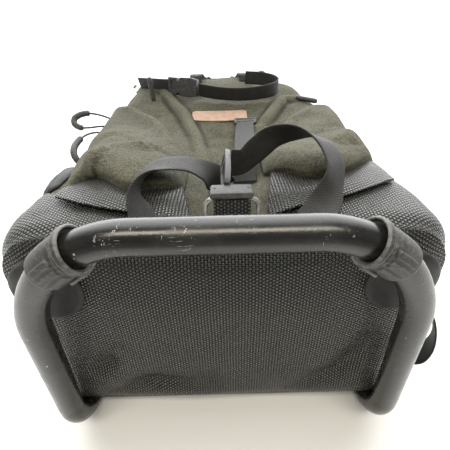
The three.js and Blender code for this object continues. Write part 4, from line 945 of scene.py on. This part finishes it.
SKIRT = Sizes(slant=6.5, under_rim=2.8, seat=3.6, swell=1.2, puff=2.2)
ZIP = Sizes(above_rim=1.5, seat=0.9, radius=1.5, end=150)
SKIRT_SEAMS = dict(left=[[(-59, 52), (-47, 72), (-36, 94)], [(-55.5, 52), (-43.5, 72), (-33, 92)]], right=[])
v_rows = np.concatenate([np.linspace(0, 0.3, 46)[:-1], np.linspace(0.3, 1, 60)])
lift, push = curve_through(POCKET_ROWS, v_rows, 1), curve_through(POCKET_ROWS, v_rows, 2)
for name, pocket in POCKETS.items():
    side = pocket.sign
    u = np.linspace(0, 1, 110)
    outer = pocket.low_outer + (POCKET_OUTER - pocket.low_outer) * smoothstep(v_rows, 0, 0.7)
    wide = pocket.inner + (outer[:, None] - pocket.inner) * u
    crown = np.broadcast_to((1 - np.abs(2 * u - 1) ** 4) ** 0.6, wide.shape)
    low, high = low_rim(pocket, wide), high_rim(pocket, wide)
    y = low + (high - low) * v_rows[:, None] + push[:, None] * crown
    x = np.minimum(wide, curve_through(BAG_ROWS, y, HALF) - 4)
    z = front_height(side * x, y, BODY_OFFSET + 2)
    plane = front_height(side * np.minimum(x, 73), y, BODY_OFFSET)
    z = np.where(lift[:, None] > 0, z + crown * (np.maximum(plane + lift[:, None], z) - z), z)
    grid = np.stack([side * x, y, z], -1)
    fade = crown * smoothstep(v_rows, 0, 0.05)[:, None] * smoothstep(v_rows, 1, 0.94)[:, None]
    face = normals(grid, False) * -side
    under_roll = -3.5 * np.exp(-((v_rows - 0.34) / 0.05) ** 2)[:, None] * smoothstep(u, 0.95, 0.7)
    grid = grid + face * ((pocket_folds(grid, side, name) + under_roll) * fade)[..., None]
    place(shell(f"pocket_{name}", grid, CLOTH, WOOL, outward=-side), "wool", f"front_pocket_{name}")

    u, v = np.meshgrid(np.linspace(0, 1, 70), np.linspace(0, 1, 36))
    inner, outer = pocket.skirt
    inner = inner + SKIRT.slant * (2 * v - 1)
    x = inner + (outer - inner) * u
    y = seam_y(side * x) * (1 - v) + (low_rim(pocket, x) - SKIRT.under_rim) * v
    z = front_height(side * x, y, SKIRT.seat) + SKIRT.swell * arch(v) * arch(u)
    grid = np.stack([side * x, y, z], -1)
    grid[..., 2] += arch(v) * (1.6 * noise(grid, 30, 41 + side) + SKIRT.puff * arch(u) ** 2)
    place(shell(f"skirt_{name}", grid, CLOTH, HONEYCOMB, outward=-side), "honeycomb", f"pocket_skirt_{name}")
    seams = [grid[2], grid[2:-1, 2]]
    for line in SKIRT_SEAMS[name]:
        points = even([(px, py, 0) for px, py in line], 2.0)
        near = [np.hypot(grid[..., 0] - p[0], grid[..., 1] - p[1]).argmin() for p in points]
        seams.append(np.column_stack([points[:, :2], grid[..., 2].ravel()[near]]))
    place(stitches(f"skirt_stitches_{name}", [s + (0, 0, 0.15) for s in seams], THREAD), "webbing")

    x = np.linspace(pocket.inner + 4, ZIP.end, 90)
    y = high_rim(pocket, x) + ZIP.above_rim
    zip_line = np.stack([side * x, y, front_height(side * x, y, BODY_OFFSET) + ZIP.seat], -1)
    place(tube(f"zip_{name}", zip_line, ZIP.radius, CORD, sides=8), "cord")

    u, v = np.meshgrid(np.linspace(0, 1, 60), np.linspace(0, 1, 40))
    low = SIDE_POCKET.low - pocket.side_dip * smoothstep(v, SIDE_POCKET.dip_from, 1)
    y = low + (SIDE_POCKET.high - low) * u
    edge = np.maximum(bag_size(y, EDGE, BODY_OFFSET), 8)
    top = front_height(side * bag_size(y, HALF, BODY_OFFSET), y, BODY_OFFSET)
    wrap = smoothstep(y, SIDE_POCKET.wrap_end, SIDE_POCKET.low)
    front = SIDE_POCKET.front + (top + pocket.side_wrap * edge - SIDE_POCKET.front) * wrap
    z = SIDE_POCKET.back + (front - SIDE_POCKET.back) * v
    over = np.maximum(z - top, 0)
    wall = side_reach(y, np.minimum(z, top), BODY_OFFSET, top) - edge + np.sqrt(edge ** 2 - over ** 2)
    swell = pocket.side_crown * (arch(u) * arch(v ** SIDE_POCKET.bulge)) ** 0.5
    seat = SIDE_POCKET.seat + SIDE_POCKET.wrap_seat * pocket.side_wrap * wrap + swell
    slope = np.arcsin(over / edge)
    grid = np.stack([side * (wall + seat * np.cos(slope)), y, z + seat * np.sin(slope)], -1)
    ripple = 1.6 * noise(grid, 30, 51) + 0.8 * noise(grid, 13, 52)
    grid[..., 0] += side * arch(v) * arch(u) * ripple
    place(shell(f"side_pocket_{name}", grid, CLOTH, NYLON, outward=side), "nylon", f"side_panel_{name}")
    sewn = grid + 0.2 * side * normals(grid, False)
    border = [sewn[1, 1:-1], sewn[-2, 1:-1], sewn[1:-1, 1], sewn[1:-1, -2]]
    place(stitches(f"side_pocket_stitches_{name}", border, THREAD), "webbing")


# Smooth wear patches behind the corners of the foot
def end_y(x, z):
    half, front, edge = (float(bag_size(edge_y, c, 0)) for c in (HALF, FRONT, EDGE))
    over_x, over_z = np.maximum(x - half + edge, 0), np.maximum(z - front + edge, 0)
    in_corner = (over_x > 0) & (over_z > 0)
    inside = np.where(in_corner, edge - np.hypot(over_x, over_z), np.minimum(half - x, front - z))
    dip = np.maximum(BAG.bottom_edge - np.maximum(inside, 0), 0)
    return edge_y - np.sqrt(np.maximum(BAG.bottom_edge ** 2 - dip ** 2, 0))


PATCH = Sizes(x=134, z=186, radius=27, wall=1.6)
turn = round_turn(64)
reach = PATCH.radius * np.concatenate([np.linspace(0, 0.93, 14), [0.97, 1.0]])[:, None]
height = np.concatenate([np.full(14, 3.2), [2.8, 1.6]])
for side, name in SIDES:
    x, z = PATCH.x + reach * np.cos(turn), PATCH.z + reach * np.sin(turn)
    grid = np.stack([x, end_y(x, z), z], -1)
    face = normals(grid, True)
    grid = grid + height[:, None, None] * face * np.where(face[..., 1:2] > 0, -1, 1)
    grid[..., 0] *= side
    patch = shell(f"patch_{name}", grid, PATCH.wall, RUBBER, wrap=True, outward=side, open_start=False)
    place(patch, "rubber", f"corner_patch_{name}")

# Label
LABEL = Sizes(x=-2, y=310, half_wide=38, half_tall=11.5, seat=2.9, thick=1.8)
u, v = np.meshgrid(np.linspace(-1, 1, 48), np.linspace(-1, 1, 20))
x = LABEL.x + LABEL.half_wide * u * (1 - 0.055 * np.abs(v) ** 14)
y = LABEL.y + LABEL.half_tall * v * (1 - 0.12 * np.abs(u) ** 26)
z = front_height(x, y, BODY_OFFSET) + LABEL.seat + 0.5 * noise(np.stack([x, y, y], -1), 24, 61)
place(shell("leather_label", np.stack([x, y, z], -1), LABEL.thick, LEATHER), "leather", "label")

# Webbing. Columns: x, y, z of the middle, then the direction across
CENTRE_STRAP = [
    (32, 282.2, 225, 1, 0.05, 0.05), (30, 262, 227.5, 1, 0.05, 0.05), (25, 175, 230, 1, 0.05, 0),
    (23, 147, 228, 1, 0.05, 0.05), (22, 127, 216.2, 1, 0, 0.2)]
RIGHT_LOOP = [
    (7.7, 100.5, 248.7, 0.26, 0, 0.966), (17.5, 102.5, 248.3, 0.1, -0.1, 0.99),
    (30, 108, 256.5, -0.35, -0.15, 0.92), (44, 112, 266, -0.61, -0.3, 0.7),
    (59, 109, 271, -0.6, -0.42, 0.66), (72, 102, 272.5, -0.64, -0.55, 0.5), (84, 91, 268, -0.68, -0.66, 0.3),
    (90, 78, 258, -0.68, -0.7, 0.15), (88, 66, 247, -0.7, -0.5, 0.3), (81, 54, 238, -0.75, 0.2, 0.4),
    (72, 44, 233.3, -0.7, 0.65, 0.1), (64, 37, 230.8, -0.65, 0.75, 0)]
LEFT_LOOP = [
    (1, 122, 216.6, 0.86, 0, 0.3), (-5, 112, 227.5, 0.7, 0.45, 0.55), (-17, 104, 241, 0, 0.9, 0.3),
    (-32, 98, 250, -0.2, 0.95, 0.1), (-47, 91, 253, -0.2, 0.97, 0), (-59, 76, 252, -0.15, 0.9, -0.2),
    (-64, 60, 247, 0, 0.8, -0.38), (-62, 49, 240.5, 0.4, 0.7, -0.3), (-57, 41, 233.8, 0.7, 0.65, -0.1),
    (-50, 35.5, 231, 0.7, 0.7, 0)]
BUCKLE_TAB = [
    (7, 74, 217.5, 1, 0, 0), (7, 60, 221, 1, 0, 0), (7, 47, 227, 1, 0, 0), (7, 40, 233, 1, 0, 0),
    (7, 39.6, 242, 1, 0, 0), (7, 39.8, 246.4, 1, 0, 0)]
TOP_STRAP_LEFT = [
    (-128, 408, 252.8, -0.1, -0.2, 0.95), (-114, 398, 253.8, -0.1, -0.2, 0.95),
    (-97, 386, 255, -0.05, -0.2, 0.98), (-77.4, 374.6, 255.5, 0, -0.2, 0.98)]
TOP_STRAP = [
    (-31.6, 352, 253.5, 0, -0.2, 0.98), (-6, 343, 250.5, 0, -0.2, 0.98), (26, 338, 249, 0, -0.2, 0.98),
    (58, 344, 249.5, 0, -0.1, 0.99), (79, 357, 251, 0, 0, 1), (87, 375, 253, 0, 0, 1),
    (80, 392, 255, 0, 0.1, 0.99), (62, 403, 257, 0, 0.1, 0.99), (40, 409, 257.5, 0, 0.1, 0.99)]
HAUL_HALF = [
    (-40, 424, 249.5, 1, 0.2, 0), (-40, 430, 257, 1, 0.2, 0), (-39, 440, 258, 1, 0.1, 0),
    (-38, 466, 252, 1, 0.1, 0), (-36, 494, 242, 1, 0.2, 0), (-24, 512, 232, 0.7, 0.5, -0.4)]
HAUL_LOOP = HAUL_HALF + [(0, 518, 228, 0, 0.7, -0.7)]
HAUL_LOOP += [(-x, y, z, -wx, wy, wz) for x, y, z, wx, wy, wz in HAUL_HALF[::-1]]
SIDE_LOOP = [
    (175.8, 58, 124, 0, 1, 0), (186, 57.8, 122.5, 0, 1, 0), (196, 51.5, 112, 0.2, 0.95, -0.25),
    (203, 44, 94, 0.4, 0.9, -0.2), (205, 42, 74, 0.4, 0.9, 0), (202, 45, 57, 0.3, 0.9, 0.2),
    (195, 51, 48, 0.1, 0.95, 0.2), (186, 55.8, 48.5, 0, 1, 0), (175.8, 56, 50, 0, 1, 0)]
SHOULDER_PAD = [
    (48, 434, 15.1, 1, 0, 0), (52, 410, 12.4, 1, 0.1, 0), (64, 370, 6.4, 1, 0.2, 0), (82, 310, 6, 1, 0.2, 0),
    (92, 240, 6, 1, 0.05, 0), (92, 180, 6, 1, -0.05, 0), (86, 132, 6, 1, -0.1, 0)]
SHOULDER_WEB = [
    (85.8, 131.2, 6, 1, -0.15, 0), (83.4, 116, 5, 1, 0.1, 0), (94, 98, 5, 0.7, 0.7, 0),
    (116, 88, 7, 0.3, 0.95, 0.1), (134, 86, 10.4, 0, 1, 0)]


def mirrored(rows):
    return [(-x, y, z, wx, -wy, -wz) for x, y, z, wx, wy, wz in rows]


STRAPS = [
    ("centre_strap", CENTRE_STRAP, WEB - 2), ("loop_strap_right", RIGHT_LOOP, WEB),
    ("loop_strap_left", LEFT_LOOP, WEB), ("top_strap_left", TOP_STRAP_LEFT, TOP_WEB),
    ("top_strap", TOP_STRAP, TOP_WEB), ("haul_loop", HAUL_LOOP, TOP_WEB), ("side_loop", SIDE_LOOP, WEB),
    ("shoulder_web_right", SHOULDER_WEB, WEB), ("shoulder_web_left", mirrored(SHOULDER_WEB), WEB)]
for node, rows, width in STRAPS:
    place(ribbon(f"{node}_webbing", rows, width, WEBBING), "webbing", node)
place(ribbon("honeycomb_tab", BUCKLE_TAB, WEB + 2, TAB_CLOTH_PAINTED_SHADE), "honeycomb", "buckle_tab")


# Padded shoulder straps with bound edges
def squared(wave):
    return np.sign(wave) * np.abs(wave) ** 0.55


PAD = Sizes(half_wide=31, half_thick=5.5, binding=30.2, quilt=28)
turn = round_turn(40)
for rows, name in ((SHOULDER_PAD, "right"), (mirrored(SHOULDER_PAD), "left")):
    centre, across, face = ribbon_rings(rows, 14)
    step = np.arange(len(centre))
    last = len(centre) - 1
    ends = 1 - 0.35 * np.maximum(smoothstep(step, 4, 0), smoothstep(step, last - 4, last))
    quilt = 1 - 0.1 * np.cos(step * 2 * np.pi / PAD.quilt)
    wide = PAD.half_wide * np.outer(0.9 + 0.1 * ends, squared(np.cos(turn)))
    thick = PAD.half_thick * np.outer(quilt * ends, squared(np.sin(turn)))
    grid = centre[:, None] + wide[..., None] * across[:, None] + thick[..., None] * face[:, None]
    faces = swept_faces(len(centre), len(turn))
    pad = new_object(f"shoulder_pad_{name}", at(grid.reshape(-1, 3)), faces, SPACER)
    place(pad, "mesh", f"shoulder_strap_{name}")
    for letter, sign in (("a", -1), ("b", 1)):
        line = centre + sign * PAD.binding * across
        place(tube(f"pad_binding_{name}_{letter}", line, 1.9, NYLON, sides=8), "nylon")

# Buckle behind the bar: a riveted body, the turned prongs, the ring and the ladder lock
place(plate("buckle_body", rounded_rect(-16, -2, 16, 2, 1.7), [], 14, PLASTIC,
            turned((7, 48, 249), x=90), 0.7), "plastic", "lower_buckle_body")
for x, name in ((-5.5, "left"), (19.5, "right")):
    rivet = [(x, 49.5, 250.6), (x, 49.5, 251.4), (x, 49.5, 251.8)]
    place(tube(f"buckle_rivet_{name}", rivet, [1.4, 1.4, 0.9], RUBBER, sides=16), "rubber")


def bow(a, control, b, steps=8):
    t = np.linspace(0, 1, steps + 1)[1:, None]
    a, control, b = (np.array(p, float) for p in (a, control, b))
    return list((1 - t) ** 2 * a + 2 * t * (1 - t) * control + t * t * b)


prongs = [(-9.5, 0), (9.5, 0), (9.5, 15), *bow((9.5, 15), (11, 33.7), (4.5, 52.4)), (1.3, 52.4)]
prongs += [*bow((1.3, 52.4), (7.8, 33.7), (5.5, 17)), (-5.5, 17)]
prongs += [*bow((-5.5, 17), (-7.8, 33.7), (-1.3, 52.4)), (-4.5, 52.4)]
prongs += bow((-4.5, 52.4), (-11, 33.7), (-9.5, 15))
window = rounded_rect(-6.1, 3.4, 6.1, 11.6, 1.2)
place(plate("buckle_prongs", prongs, [window], 4.5, PLASTIC, turned((3, 108, 249), y=-75, z=180), 0.3),
      "plastic", "lower_buckle_prongs")
ring = rounded_rect(-20, -10.45, 20, 10.45, 7, 10)
path = np.stack([7 + ring[:, 0], np.full(len(ring), 46.0), 234 + ring[:, 1]], 1)
place(tube("square_ring", path, 2, WIRE, sides=16, loop=True), "wire", "wire_ring")
slots = [rounded_rect(-11.5, y - 1.3, 11.5, y + 1.3, 1.0) for y in (-3, 3)]
place(plate("ladder_slide", rounded_rect(-14.5, -6.5, 14.5, 6.5, 2), slots, 3.6, PLASTIC,
            turned((32.5, 290.5, 225), x=10)), "plastic", "ladder_lock")

# Buckle of the top strap
upper = [(-24, 12), (-10, 12), (-10, 8.5), (-6, 8.5), (-3, 13), (15, 13), (24, 11)]
outline = [(x, -y) for x, y in upper] + upper[::-1]
place(plate("side_release_buckle", outline, [rounded_rect(-20, -8.5, -16, 8.5, 1)], 8, PLASTIC,
            turned((-55, 363.4, 255.4), z=-26, x=80, order="ZXY"), 0.7), "plastic", "top_buckle")


# Zip pulls
PULL = Sizes(half=17, radius=3.6, rib=0.22)


def pull(side, middle, **turns):
    h = np.linspace(-1, 1, 46)
    ribs = (np.abs(np.sin(h * 28)) > 0.75) * (np.abs(h) < 0.6)
    radius = PULL.radius * np.sqrt(np.clip(1 - np.abs(h) ** 9, 0.02, 1)) - PULL.rib * ribs
    line = turn_points(np.stack([0 * h, PULL.half * h, 0 * h], 1), **turns) + np.array(middle)
    place(tube(f"pull_{side}", line, radius, PLASTIC, sides=16), "plastic", f"pocket_pull_{side}")


pull("left", (-101, 357, 254.6), x=80, z=6)
pull("right", (127, 352, 236), x=8, z=60)
turn = round_turn(40)
circle = 8 * np.stack([np.cos(turn), np.sin(turn), 0 * turn], 1)
circle = turn_points(circle, x=70, z=30) + np.array((70, 460, 249.6))
place(tube("pull_ring", circle, 1.7, WIRE, sides=12, loop=True), "wire", "zip_ring")
place(plate("slider", rounded_rect(-6, -11, 6, 11, 3), [rounded_rect(-3, 2, 3, 8, 2)], 4, WIRE,
            turned((-138, 424, 242), x=30, y=-30, z=40), 0.7), "wire", "zip_slider")
